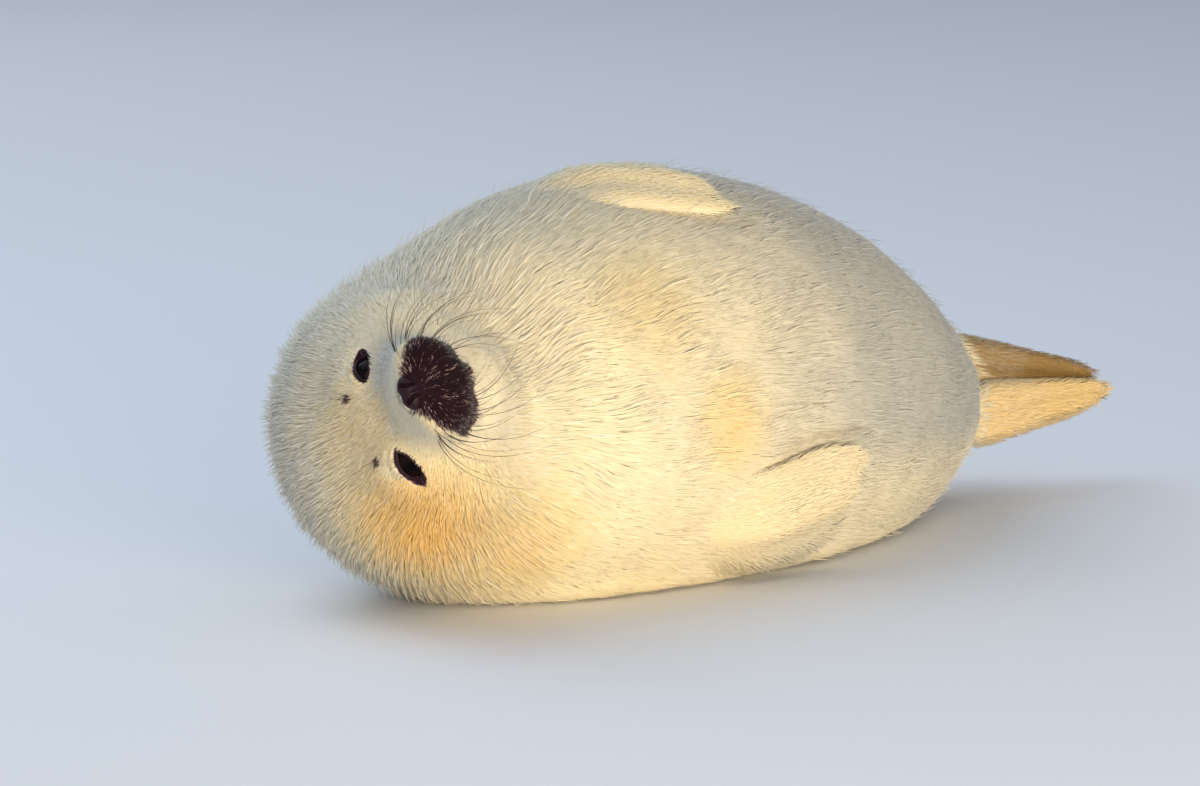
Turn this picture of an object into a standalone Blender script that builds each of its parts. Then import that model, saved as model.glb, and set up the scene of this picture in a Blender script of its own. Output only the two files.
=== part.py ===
"""A seal pup in its white natal coat, life size, lying on its right side with its belly turned up.

Metres, +Z up, floor at z = 0. The head is towards -X, the tail towards +X, and the belly faces -Y
and up. The solids reach to the tips of the coat.

The flesh is one loft along the spine, settled on the floor and parted by thin plane cuts. A place on
it is told by its distance behind the nose tip, measured along the spine, and by the angle round it:
0 is the animal's left side, 90 its back, -90 its belly and 180 its right side.
"""

import math
from collections import namedtuple

import bmesh
import bpy
from mathutils import Matrix, Vector

# ---------------------------------------------------------------- pose
BELLY_UP = math.radians(33)  # how far the belly is turned up from the horizontal
NECK_BOW = math.radians(40)  # how far the head is bowed towards the belly
HEAD_TURN = math.radians(5)  # how far the head is turned to its right
BOW_FROM, BOW_TO = 0.09, 0.25  # the stretch of spine that bends, from the skull to the shoulders

# ---------------------------------------------------------------- the body
Station = namedtuple("Station", "name behind half_width back belly drop")
BODY = (  # the coat's outer size along the spine; drop lowers a section towards the chin
    Station("nose tip", 0.000, 0.003, 0.003, 0.003, 0.025),
    Station("nose", 0.004, 0.018, 0.010, 0.014, 0.025),
    Station("lips", 0.012, 0.029, 0.017, 0.024, 0.027),
    Station("whisker pads", 0.025, 0.035, 0.023, 0.030, 0.028),
    Station("muzzle root", 0.045, 0.042, 0.031, 0.038, 0.026),
    Station("eyes", 0.060, 0.057, 0.044, 0.050, 0.022),
    Station("forehead", 0.080, 0.077, 0.064, 0.064, 0.014),
    Station("crown", 0.105, 0.092, 0.083, 0.089, 0.007),
    Station("jaw corner", 0.140, 0.106, 0.100, 0.114, 0.002),
    Station("nape", 0.180, 0.120, 0.112, 0.131, 0.0),
    Station("neck", 0.240, 0.141, 0.126, 0.143, 0.0),
    Station("shoulders", 0.320, 0.160, 0.142, 0.150, 0.0),
    Station("chest", 0.390, 0.168, 0.150, 0.155, 0.0),
    Station("belly", 0.460, 0.167, 0.150, 0.162, 0.0),
    Station("flank", 0.530, 0.158, 0.144, 0.158, 0.0),
    Station("loin", 0.600, 0.141, 0.130, 0.145, 0.0),
    Station("hips", 0.670, 0.115, 0.108, 0.119, 0.0),
    Station("rump", 0.730, 0.086, 0.081, 0.089, 0.0),
    Station("tail stock", 0.775, 0.062, 0.056, 0.060, 0.0),
    Station("heels", 0.805, 0.046, 0.038, 0.040, 0.0),
    Station("tail root", 0.812, 0.034, 0.028, 0.030, 0.0),
)
SPINE_HEIGHT = (  # behind the nose tip, height of the spine above the floor
    (0.25, 0.122),
    (0.34, 0.126),
    (0.42, 0.125),
    (0.50, 0.119),
    (0.60, 0.106),
    (0.70, 0.090),
    (0.76, 0.082),
    (0.812, 0.078),
)
MUZZLE_CORE = 0.034  # swells on the muzzle point away from here
Swell = namedtuple("Swell", "name behind left up radius height")
SWELLS = (  # forms raised from the plain sections, or sunk into them, in the head's own frame
    Swell("left whisker pad", 0.014, 0.019, -0.036, 0.025, 0.0085),
    Swell("right whisker pad", 0.014, -0.019, -0.036, 0.025, 0.0085),
    Swell("chin", 0.024, 0.0, -0.064, 0.020, 0.004),
    Swell("bridge", 0.046, 0.0, 0.006, 0.024, -0.003),
    Swell("left brow", 0.066, 0.027, 0.028, 0.022, 0.004),
    Swell("right brow", 0.066, -0.027, 0.028, 0.022, 0.004),
    Swell("left cheek", 0.080, 0.066, -0.034, 0.045, 0.006),
    Swell("right cheek", 0.080, -0.066, -0.034, 0.045, 0.006),
    Swell("double chin", 0.074, 0.0, -0.080, 0.038, 0.006),
    Swell("throat fold", 0.118, 0.0, -0.090, 0.026, -0.005),
)
ROUND = 36  # points round the body
RINGS = (  # end of each stretch behind the nose tip, and rings in it
    (0.004, 1),
    (0.036, 7),
    (0.100, 10),
    (0.250, 7),
    (0.760, 13),
    (0.812, 4),
)
FLOOR_EASE = 0.012  # height over which the flank turns into the flat that it rests on
FLOOR_SPREAD, SPREAD_HEIGHT = 0.05, 0.045  # how far the resting flank is pressed out sideways

# ---------------------------------------------------------------- where the flesh is parted
GAP = 0.0004  # width of every parting
HEAD_END, NECK_END, TRUNK_END = 0.150, 0.255, 0.620
MOUTH_UP, MOUTH_GAP = -0.0570, 0.0009  # the mouth's height in the head's frame, and how far it parts
JAW_BEHIND, JAW_HALF_LENGTH, JAW_HALF_WIDTH, JAW_DEEP = 0.030, 0.046, 0.029, 0.060

# ---------------------------------------------------------------- eyes and nose
EYE_RADIUS = 0.0185
EYE_BEHIND, EYE_SIDE, EYE_UP = 0.0570, 0.0388, 0.0036  # front of the eyeball
EYE_OUTWARD, EYE_RAISED = math.radians(39), math.radians(12)
EYE_SLANT = math.radians(8)  # outer corner lower than the inner one
LID_LENGTH, LID_ABOVE, LID_BELOW = 0.031, 0.0070, 0.0062
NOSE_BEHIND, NOSE_UP = 0.0035, -0.0188
NOSE_HALF_WIDTH, NOSE_HALF_HEIGHT, NOSE_HALF_DEPTH = 0.0125, 0.0084, 0.0068
NOSTRIL_SIDE, NOSTRIL_LENGTH, NOSTRIL_WIDTH = 0.0055, 0.0076, 0.0018

# ---------------------------------------------------------------- flippers and tail
Blade = namedtuple("Blade", "length half_widths half_thicknesses short_edge digits")
FORE = Blade(  # half widths and half thicknesses from root to tip
    length=0.168,
    half_widths=((0.0, 0.036), (0.3, 0.042), (0.65, 0.043), (0.9, 0.036), (1.0, 0.024)),
    half_thicknesses=((0.0, 0.016), (0.3, 0.0125), (0.7, 0.0105), (0.92, 0.0085), (1.0, 0.004)),
    short_edge=0.24,
    digits=5,
)
HIND = Blade(
    length=0.180,
    half_widths=((0.0, 0.034), (0.3, 0.030), (0.65, 0.024), (0.88, 0.018), (1.0, 0.012)),
    half_thicknesses=((0.0, 0.023), (0.3, 0.0195), (0.65, 0.0115), (0.88, 0.0075), (1.0, 0.003)),
    short_edge=0.06,
    digits=5,
)
BLADE_ROUND, BLADE_RINGS = 16, 9
RIDGE, SCALLOP = 0.16, 0.022  # how far the digits stand out on the blade, and past its end
FORE_LIFT = ((0.0, -0.022), (0.25, -0.008), (0.5, 0.001), (1.0, 0.005))  # out from the coat
Reach = namedtuple("Reach", "root_behind root_angle tip_behind tip_angle")
FORE_REACH = {  # where each fore flipper leaves the shoulder, and where its tip lies
    "left": Reach(0.290, -21.0, 0.444, -56.0),
    "right": Reach(0.322, -154.0, 0.488, -142.0),
}
Lie = namedtuple("Lie", "root tip across")
HIND_LIE = {  # where each hind flipper leaves the heels, where it points, and the way of its breadth
    "right": Lie(Vector((0.500, -0.030, 0.066)), Vector((0.675, -0.072, 0.072)), Vector((0, -0.62, 0.78))),
    "left": Lie(Vector((0.500, 0.001, 0.112)), Vector((0.672, -0.063, 0.084)), Vector((0, -0.80, 0.60))),
}
CLAW_LENGTH, CLAW_RADIUS, CLAW_SUNK = 0.0150, 0.0030, 0.0060
HIND_CLAW_SHARE = 0.6
TAIL_LENGTH, TAIL_HALF_WIDTH, TAIL_HALF_THICK = 0.062, 0.018, 0.010

MIDDLE = Vector((0.2343, -0.0079, 0.0))  # of the length and the width, where the origin comes to be

LEFT = Vector((0, math.sin(BELLY_UP), math.cos(BELLY_UP)))
BELLY = Vector((0, -math.cos(BELLY_UP), math.sin(BELLY_UP)))
AHEAD = Vector((-1, 0, 0))


# ---------------------------------------------------------------- curves through named sizes
def through(points, at):
    """The value at `at` on a smooth curve through (place, value) points that never overshoots them."""
    at = min(max(at, points[0][0]), points[-1][0])
    spans = [b[0] - a[0] for a, b in zip(points, points[1:])]
    slopes = [(b[1] - a[1]) / span for a, b, span in zip(points, points[1:], spans)]
    tangents = [slopes[0]]
    for before, after in zip(slopes, slopes[1:]):
        tangents.append(0.0 if before * after <= 0 else 2 * before * after / (before + after))
    tangents.append(slopes[-1])
    k = next((i for i in range(len(spans)) if at <= points[i + 1][0]), len(spans) - 1)
    u = (at - points[k][0]) / spans[k]
    return (
        (2 * u**3 - 3 * u**2 + 1) * points[k][1]
        + (u**3 - 2 * u**2 + u) * spans[k] * tangents[k]
        + (3 * u**2 - 2 * u**3) * points[k + 1][1]
        + (u**3 - u**2) * spans[k] * tangents[k + 1]
    )


SIZES = {
    field: tuple((station.behind, getattr(station, field)) for station in BODY)
    for field in ("half_width", "back", "belly", "drop")
}


# ---------------------------------------------------------------- the spine
def facing(behind):
    """The spine's own directions there: ahead, the animal's left, and up along its back."""
    u = min(max((behind - BOW_FROM) / (BOW_TO - BOW_FROM), 0.0), 1.0)
    share = 1 - u * u * (3 - 2 * u)
    bowed = AHEAD * math.cos(NECK_BOW * share) + BELLY * math.sin(NECK_BOW * share)
    turn = HEAD_TURN * share
    ahead = bowed * math.cos(turn) - LEFT * math.sin(turn)
    left = LEFT * math.cos(turn) + bowed * math.sin(turn)
    return ahead, left, ahead.cross(left)


def spine_points(step=0.001):
    """Points of the spine from the shoulders forward to the nose tip, as a list by steps behind it."""
    count = round(BOW_TO / step)
    points = [Vector((0, 0, through(SPINE_HEIGHT, BOW_TO)))]
    for i in range(count, 0, -1):
        points.append(points[-1] + facing((i - 0.5) * step)[0] * step)
    return points[::-1], step


BOWED_SPINE, SPINE_STEP = spine_points()


def spine(behind):
    """The spine's point there. The shoulders are at x = 0."""
    if behind >= BOW_TO:
        return Vector((behind - BOW_TO, 0, through(SPINE_HEIGHT, behind)))
    place = behind / SPINE_STEP
    k = min(int(place), len(BOWED_SPINE) - 2)
    return BOWED_SPINE[k].lerp(BOWED_SPINE[k + 1], place - k)


def head_place(behind, left, up):
    """A point given in the head's own frame."""
    _, to_left, to_back = facing(behind)
    return spine(behind) + to_left * left + to_back * up


# ---------------------------------------------------------------- the body's surface
def settle(point):
    """Rests a point on the floor: what would lie below is flattened, and pressed out a little."""
    spread = 1 + FLOOR_SPREAD * math.exp(-((max(point.z, 0) / SPREAD_HEIGHT) ** 2))
    z = point.z
    if z < FLOOR_EASE:
        z = 0.0 if z < -FLOOR_EASE else (z + FLOOR_EASE) ** 2 / (4 * FLOOR_EASE)
    return Vector((point.x, point.y * spread, z))


def raised(behind, point):
    """The point moved out, or in, by the forms named in SWELLS."""
    core = max(behind, MUZZLE_CORE)
    centre = spine(core) - facing(core)[2] * through(SIZES["drop"], core)
    outward = (point - centre).normalized()
    for swell in SWELLS:
        distance = (point - head_place(swell.behind, swell.left, swell.up)).length
        if distance < swell.radius:
            point = point + outward * swell.height * (1 - (distance / swell.radius) ** 2) ** 2
    return point


def on_body(behind, angle):
    """A point of the coat's outer surface, before it settles on the floor."""
    _, left, up = facing(behind)
    half_width, back, belly, drop = (through(SIZES[field], behind) for field in SIZES)
    across, along_up = math.cos(angle), math.sin(angle)
    height = (back if along_up > 0 else belly) * along_up - drop
    point = spine(behind) + left * half_width * across + up * height
    return raised(behind, point) if behind < BOW_TO else point


def outward_at(behind, angle, step=0.004):
    """The surface's outward normal there."""
    along = on_body(behind + step, angle) - on_body(behind - step, angle)
    turn = math.radians(3)
    across = on_body(behind, angle + turn) - on_body(behind, angle - turn)
    return along.cross(across).normalized()


# ---------------------------------------------------------------- mesh tools
def new_object(name, bm, helper=False):
    """An object of that mesh. A helper only cuts or joins others."""
    bm.normal_update()
    bmesh.ops.recalc_face_normals(bm, faces=bm.faces)
    if bm.calc_volume(signed=True) < 0:
        bmesh.ops.reverse_faces(bm, faces=bm.faces)
    mesh = bpy.data.meshes.new(name)
    bm.to_mesh(mesh)
    bm.free()
    obj = bpy.data.objects.new(name, mesh)
    bpy.context.scene.collection.objects.link(obj)
    if helper:
        obj.hide_render = True
        obj.display_type = "WIRE"
    return obj


def loft(rings, segments, place):
    """A closed mesh through rings of points, where place(ring, angle) is a point of a ring."""
    bm = bmesh.new()
    angle_of = bm.verts.layers.float.new("angle")
    bmesh.ops.create_circle(bm, segments=segments, radius=1)
    for vert in bm.verts:
        vert[angle_of] = math.atan2(vert.co.y, vert.co.x)
        vert.co = place(rings[0], vert[angle_of])
    edges = list(bm.edges)
    for ring in rings[1:]:
        grown = bmesh.ops.extrude_edge_only(bm, edges=edges)["geom"]
        verts = {item for item in grown if isinstance(item, bmesh.types.BMVert)}
        for vert in verts:
            vert.co = place(ring, vert[angle_of])
        edges = [
            item
            for item in grown
            if isinstance(item, bmesh.types.BMEdge) and verts.issuperset(item.verts)
        ]
    bmesh.ops.holes_fill(bm, edges=bm.edges)
    bmesh.ops.triangulate(bm, faces=bm.faces)
    return bm


def cut_off(bm, point, towards):
    """Takes away what lies beyond the plane through point, and closes the cut."""
    everything = bm.verts[:] + bm.edges[:] + bm.faces[:]
    cut = bmesh.ops.bisect_plane(
        bm, geom=everything, dist=1e-6, plane_co=point, plane_no=towards, clear_outer=True
    )
    edges = [item for item in cut["geom_cut"] if isinstance(item, bmesh.types.BMEdge)]
    bmesh.ops.holes_fill(bm, edges=edges)


def boolean(obj, operation, other):
    modifier = obj.modifiers.new(operation.title(), "BOOLEAN")
    modifier.operation = operation
    modifier.solver = "EXACT"
    modifier.object = other


def grown(obj, gap):
    """A helper of the same shape, larger by gap all round. It makes room for obj in a neighbour."""
    bm = bmesh.new()
    bm.from_mesh(obj.data)
    bm.normal_update()
    for vert in bm.verts:
        vert.co += vert.normal * gap
    return new_object(obj.name + "_room", bm, helper=True)


# ---------------------------------------------------------------- materials
def material(name, colour, roughness):
    made = bpy.data.materials.new(name)
    made.use_nodes = True
    shader = made.node_tree.nodes["Principled BSDF"]
    shader.inputs["Base Color"].default_value = (*colour, 1)
    shader.inputs["Roughness"].default_value = roughness
    made.diffuse_color = (*colour, 1)
    return made


def finish(obj, made):
    obj.data.materials.append(made)
    obj.data.shade_smooth()
    obj.data.set_sharp_from_angle(angle=math.radians(50))


# ---------------------------------------------------------------- head, neck, trunk and hindquarters
def body_rings():
    rings = [BODY[0].behind]
    for end, count in RINGS:
        start = rings[-1]
        rings += [start + (end - start) * (i + 1) / count for i in range(count)]
    return rings


def flesh_between(whole, name, front=None, back=None):
    """The stretch of the body between two places on the spine, each a plane cut across it."""
    bm = bmesh.new()
    bm.from_mesh(whole)
    if front is not None:
        ahead = facing(front)[0]
        cut_off(bm, spine(front) - ahead * GAP / 2, ahead)
    if back is not None:
        ahead = facing(back)[0]
        cut_off(bm, spine(back) + ahead * GAP / 2, -ahead)
    return new_object(name, bm)


def make_flesh():
    """The body in its four stretches, as a dict by name."""
    bm = loft(body_rings(), ROUND, lambda behind, angle: settle(on_body(behind, angle)))
    whole = bpy.data.meshes.new("whole_body")
    bm.to_mesh(whole)
    bm.free()
    ends = {
        "head": (None, HEAD_END),
        "neck": (HEAD_END, NECK_END),
        "trunk": (NECK_END, TRUNK_END),
        "hindquarters": (TRUNK_END, None),
    }
    made = {name: flesh_between(whole, name, *places) for name, places in ends.items()}
    bpy.data.meshes.remove(whole)
    return made


def jaw_form(name, slack):
    """What holds the lower jaw: rounded as seen from below, flat on top where the mouth is."""
    ahead, left, up = facing(0)
    frame = Matrix((ahead, left, up)).transposed().to_4x4()
    frame.translation = head_place(JAW_BEHIND, 0, MOUTH_UP + slack - JAW_DEEP / 2)
    bm = bmesh.new()
    bmesh.ops.create_cone(bm, cap_ends=True, segments=28, radius1=1, radius2=1, depth=JAW_DEEP)
    size = Vector((JAW_HALF_LENGTH + slack, JAW_HALF_WIDTH + slack, 1))
    bmesh.ops.scale(bm, vec=size, verts=bm.verts)
    bmesh.ops.transform(bm, matrix=frame, verts=bm.verts)
    return new_object(name, bm, helper=True)


def make_jaw(head):
    """The lower jaw, parted from the head along the mouth."""
    jaw = bpy.data.objects.new("lower_jaw", head.data.copy())
    bpy.context.scene.collection.objects.link(jaw)
    boolean(jaw, "INTERSECT", jaw_form("jaw_shape", 0))
    boolean(head, "DIFFERENCE", jaw_form("jaw_room", MOUTH_GAP))
    return jaw


# ---------------------------------------------------------------- eyes
def eye_frame(side):
    """The eyeball's place, with X out through the pupil, Y towards the outer corner and Z up."""
    ahead, left, up = facing(EYE_BEHIND)
    outer = left * side
    out = ahead * math.cos(EYE_OUTWARD) + outer * math.sin(EYE_OUTWARD)
    out = (out * math.cos(EYE_RAISED) + up * math.sin(EYE_RAISED)).normalized()
    lid_line = (outer - out * outer.dot(out)).normalized()
    lid_up = out.cross(lid_line) * side
    slanted = lid_line * math.cos(EYE_SLANT) - lid_up * math.sin(EYE_SLANT)
    frame = Matrix((out, slanted, out.cross(slanted) * side)).transposed().to_4x4()
    frame.translation = head_place(EYE_BEHIND, EYE_SIDE * side, EYE_UP) - out * EYE_RADIUS
    return frame


def ball(radius, frame):
    bm = bmesh.new()
    bmesh.ops.create_uvsphere(bm, u_segments=16, v_segments=10, radius=radius)
    bmesh.ops.rotate(bm, matrix=Matrix.Rotation(math.pi / 2, 3, "Y"), verts=bm.verts)
    bmesh.ops.transform(bm, matrix=frame, verts=bm.verts)
    return bm


def lid_opening(frame):
    """The almond between the lids, as a cutter that widens outwards through the coat."""
    bm = bmesh.new()
    bmesh.ops.create_circle(bm, cap_ends=True, segments=24, radius=1)
    for vert in bm.verts:
        along, rise = vert.co.x, vert.co.y
        reach = 1 - along**2
        height = LID_ABOVE * reach if rise > 0 else -LID_BELOW * reach
        vert.co = Vector((0.004, along * LID_LENGTH / 2, height))
    top = bmesh.ops.extrude_face_region(bm, geom=bm.faces[:])["geom"]
    for vert in (item for item in top if isinstance(item, bmesh.types.BMVert)):
        vert.co = Vector((EYE_RADIUS + 0.02, vert.co.y * 1.25, vert.co.z * 1.5))
    bmesh.ops.remove_doubles(bm, verts=bm.verts, dist=1e-5)
    bmesh.ops.transform(bm, matrix=frame, verts=bm.verts)
    return bm


def make_eye(name, side, head):
    """An eyeball in its socket, seen between the lids."""
    frame = eye_frame(side)
    boolean(head, "DIFFERENCE", new_object(name + "_socket", ball(EYE_RADIUS + GAP, frame), True))
    boolean(head, "DIFFERENCE", new_object(name + "_lids", lid_opening(frame), True))
    return new_object(name, ball(EYE_RADIUS, frame))


# ---------------------------------------------------------------- nose
def nose_mesh(larger=0.0):
    """The bare nose pad: broad and notched above, narrowing down to the lip."""
    ahead, left, up = facing(0)
    bm = bmesh.new()
    bmesh.ops.create_uvsphere(bm, u_segments=18, v_segments=10, radius=1)
    for vert in bm.verts:
        x, y, z = vert.co
        narrow = 1 - 0.38 * max(-z, 0) - 0.12 * max(z, 0) ** 4
        notch = 0.16 * math.exp(-((y / 0.3) ** 2)) * max(z, 0) ** 2
        vert.co = (
            ahead * x * (NOSE_HALF_DEPTH + larger)
            + left * y * narrow * (NOSE_HALF_WIDTH + larger)
            + up * (z - notch) * (NOSE_HALF_HEIGHT + larger)
            + head_place(NOSE_BEHIND, 0, NOSE_UP)
        )
    return bm


def nostril(side):
    """A comma-shaped slit, wide above and closing towards the middle below."""
    ahead, left, up = facing(0)
    bm = bmesh.new()
    bmesh.ops.create_uvsphere(bm, u_segments=8, v_segments=6, radius=1)
    for vert in bm.verts:
        x, y, z = vert.co
        curl = 0.0022 * (z * z)
        vert.co = (
            head_place(0, NOSTRIL_SIDE * side, NOSE_UP + 0.001)
            + ahead * (x * 0.0035 + NOSE_HALF_DEPTH * 0.45)
            + left * side * (y * NOSTRIL_WIDTH * (1 + 0.5 * z) + z * 0.0022 + curl)
            + up * z * NOSTRIL_LENGTH / 2
        )
    return bm


def make_nose(head):
    nose = new_object("nose", nose_mesh())
    boolean(head, "DIFFERENCE", new_object("nose_room", nose_mesh(GAP), True))
    for name, side in (("left_nostril", 1), ("right_nostril", -1)):
        boolean(nose, "DIFFERENCE", new_object(name, nostril(side), True))
    return nose


# ---------------------------------------------------------------- flippers
def blade_point(blade, share, angle):
    """A point of a flipper: metres from its root, across towards its leading edge, and out of it."""
    half_width = through(blade.half_widths, share)
    across = math.cos(angle)
    digit = math.cos(math.pi * (blade.digits - 1) * (across + 1) / 2) * (1 - abs(across) ** 4)
    trailing = (1 - across) / 2
    reach = 1 - blade.short_edge * trailing**1.4 * share + SCALLOP * digit * share**6
    ridge = 1 + RIDGE * digit * math.sin(math.pi * share) ** 0.5 * min(1, 2 * share)
    thick = through(blade.half_thicknesses, share) * ridge
    return blade.length * share * reach, half_width * across, thick * math.sin(angle)


def claw_mesh(blade, place, scale):
    """A claw at the end of each digit, curving towards the sole."""
    bm = bmesh.new()
    length = CLAW_LENGTH * scale
    for number in range(blade.digits):
        across = 0.86 * (1 - 2 * number / (blade.digits - 1))
        along, side, _ = blade_point(blade, 0.97, math.acos(across))

        def claw_point(share, angle):
            radius = CLAW_RADIUS * scale * (1 - 0.85 * share**1.5)
            out = radius * math.sin(angle) - 0.18 * length * share**2
            reach = along + length * share - CLAW_SUNK * scale
            return place(reach, side + 0.8 * radius * math.cos(angle), out)

        claw = loft((0, 0.5, 1.0), 6, claw_point)
        mesh = bpy.data.meshes.new("claw")
        claw.to_mesh(mesh)
        claw.free()
        bm.from_mesh(mesh)
        bpy.data.meshes.remove(mesh)
    return bm


def make_flipper(name, blade, place, claw_scale, neighbour):
    """A flipper with its claws grown into it, and room for it in the neighbour that it grows from."""
    rings = [i / BLADE_RINGS for i in range(BLADE_RINGS)] + [0.965, 1.0]
    bm = loft(rings, BLADE_ROUND, lambda share, angle: place(*blade_point(blade, share, angle)))
    flipper = new_object(name, bm)
    claws = new_object(name + "_claws", claw_mesh(blade, place, claw_scale), helper=True)
    for piece in (flipper, claws):
        boolean(neighbour, "DIFFERENCE", grown(piece, GAP))
    boolean(flipper, "UNION", claws)
    return flipper


def fore_place(reach):
    """Lays a fore flipper on the flank: along it, across towards the belly, and out from the body."""
    towards_belly = 1 if reach.root_angle > -90 else -1

    def place(along, across, out):
        share = min(max(along / FORE.length, 0.0), 1.15)
        behind = reach.root_behind + (reach.tip_behind - reach.root_behind) * share
        angle = math.radians(reach.root_angle + (reach.tip_angle - reach.root_angle) * share)
        girth = (on_body(behind, angle + 0.05) - on_body(behind, angle - 0.05)).length / 0.1
        step_back = (reach.tip_behind - reach.root_behind) / FORE.length
        step_round = math.sqrt(max(0.0, 1 - step_back**2))
        angle -= towards_belly * across * step_back / girth
        behind -= across * step_round
        lift = through(FORE_LIFT, share) + out
        return settle(on_body(behind, angle) + outward_at(behind, angle) * lift)

    return place


def hind_place(lie):
    """Lays a hind flipper straight back from the heels, its sole turned to the other one."""
    way = (lie.tip - lie.root).normalized()
    across_way = (lie.across - way * lie.across.dot(way)).normalized()
    out_way = across_way.cross(way)

    def place(along, across, out):
        return lie.root + way * along + across_way * across + out_way * out

    return place


def make_tail(hindquarters):
    """The short flat tail between the hind flippers."""
    root = spine(0.800) + Vector((-0.010, 0.023, -0.012))
    way = Vector((1, -0.02, -0.08)).normalized()
    across = LEFT
    out = way.cross(across)
    widths = ((0.0, 1.0), (0.5, 0.85), (0.85, 0.5), (1.0, 0.12))

    def place(share, angle):
        size = through(widths, share)
        return (
            root
            + way * TAIL_LENGTH * share
            + across * TAIL_HALF_WIDTH * size * math.cos(angle)
            + out * TAIL_HALF_THICK * size * math.sin(angle)
        )

    tail = new_object("tail", loft([i / 8 for i in range(9)], 16, place))
    boolean(hindquarters, "DIFFERENCE", grown(tail, GAP))
    return tail


def main():
    for obj in list(bpy.data.objects):
        bpy.data.objects.remove(obj)
    coat = material("coat", (0.86, 0.79, 0.62), 0.85)
    dark_skin = material("dark_skin", (0.03, 0.02, 0.03), 0.45)
    eye = material("eye", (0.02, 0.012, 0.012), 0.08)

    flesh = make_flesh()
    head = flesh["head"]
    jaw = make_jaw(head)
    eyes = [make_eye("left_eye", 1, head), make_eye("right_eye", -1, head)]
    nose = make_nose(head)
    flippers = []
    for side, reach in FORE_REACH.items():
        name, place = side + "_fore_flipper", fore_place(reach)
        flippers.append(make_flipper(name, FORE, place, 1.0, flesh["trunk"]))
    for side, lie in HIND_LIE.items():
        name, place = side + "_hind_flipper", hind_place(lie)
        flippers.append(make_flipper(name, HIND, place, HIND_CLAW_SHARE, flesh["hindquarters"]))
    tail = make_tail(flesh["hindquarters"])

    for obj in (*flesh.values(), jaw, *flippers, tail):
        finish(obj, coat)
    for obj in eyes:
        finish(obj, eye)
    finish(nose, dark_skin)
    for obj in bpy.data.objects:
        obj.data.transform(Matrix.Translation(-MIDDLE))


main()
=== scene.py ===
"""Dresses the seal pup: its skin, woolly coat, eyes, nose, claws and whiskers, in a plain studio.

Metres, +Z up, floor at z = 0. A place on the animal is told by its distance behind the nose tip,
measured along the spine, and by the angle round it: 0 is its left side, 90 its back, -90 its belly
and 180 its right side. Pieces are worked out with the shoulders at x = 0 and moved by MIDDLE last.
"""

import logging
import math
from collections.abc import Sequence
from dataclasses import dataclass, replace
from enum import Enum
from functools import cached_property

import bmesh
import bpy
import numpy as np
from mathutils import Matrix, Vector


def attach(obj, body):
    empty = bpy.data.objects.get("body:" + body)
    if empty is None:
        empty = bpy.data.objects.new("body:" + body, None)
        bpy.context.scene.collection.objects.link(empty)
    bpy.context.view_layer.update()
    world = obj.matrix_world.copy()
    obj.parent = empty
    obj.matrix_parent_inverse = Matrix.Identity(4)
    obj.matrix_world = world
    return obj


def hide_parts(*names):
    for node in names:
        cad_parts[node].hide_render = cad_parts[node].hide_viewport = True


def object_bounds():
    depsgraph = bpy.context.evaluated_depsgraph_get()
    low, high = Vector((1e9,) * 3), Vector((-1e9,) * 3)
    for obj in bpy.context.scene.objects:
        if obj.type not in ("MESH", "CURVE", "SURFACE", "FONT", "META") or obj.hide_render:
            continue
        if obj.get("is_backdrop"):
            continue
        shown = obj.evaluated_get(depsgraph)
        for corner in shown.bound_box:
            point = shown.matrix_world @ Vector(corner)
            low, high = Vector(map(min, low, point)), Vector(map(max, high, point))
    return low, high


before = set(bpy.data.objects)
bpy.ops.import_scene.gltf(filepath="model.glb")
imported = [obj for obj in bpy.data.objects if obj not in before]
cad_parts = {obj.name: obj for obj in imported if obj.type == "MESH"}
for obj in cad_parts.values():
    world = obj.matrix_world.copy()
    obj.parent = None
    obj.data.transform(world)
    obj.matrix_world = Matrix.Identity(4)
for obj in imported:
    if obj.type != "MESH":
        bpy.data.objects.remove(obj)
CAD_BOX = [[float(value) for value in corner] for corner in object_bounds()]

Array = np.ndarray
Pair = tuple[float, float]
Range = Pair
Triple = tuple[float, float, float]
Curve = tuple[Pair, ...]
log = logging.getLogger("seal_pup")

SEED = 11
MIDDLE = np.array((0.2343, -0.0079, 0.0))
BACKWARDS = np.array((1.0, 0.0, 0.0))
BELLY = -90
SPINE_END = 0.812
SECTIONS = (
    *(0.000, 0.004, 0.012, 0.025, 0.045, 0.060, 0.080, 0.105, 0.140, 0.180, 0.240),
    *(0.320, 0.390, 0.460, 0.530, 0.600, 0.670, 0.730, 0.775, 0.805, SPINE_END),
)


class Slot(Enum):
    """The record's material slots."""

    COAT = "coat"
    DARK_SKIN = "dark_skin"
    EYE = "eye"
    CLAW = "claw"
    WHISKER = "whisker"


class Side(Enum):
    """The animal's own sides, as signs along its left."""

    LEFT = 1
    RIGHT = -1


# ---------------------------------------------------------------- numbers
def unit(vectors: Array) -> Array:
    """The vectors at length 1."""
    return vectors / np.maximum(np.linalg.norm(vectors, axis=-1, keepdims=True), 1e-12)


def dot(one: Array, other: Array) -> Array:
    """The dot products, kept as a last axis of one."""
    return (one * other).sum(-1, keepdims=True)


def norm(vectors: Array) -> Array:
    """The vectors' lengths."""
    return np.linalg.norm(vectors, axis=-1)


def ease(low: float, high: float, at: Array) -> Array:
    """0 below low, 1 above high, and a smooth rise between them."""
    share = np.clip((at - low) / (high - low), 0, 1)
    return share * share * (3 - 2 * share)


def bell(at: Array, middle: float, width: float) -> Array:
    """1 at the middle, falling smoothly away over the width."""
    return np.exp(-(((at - middle) / width) ** 2))


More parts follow.
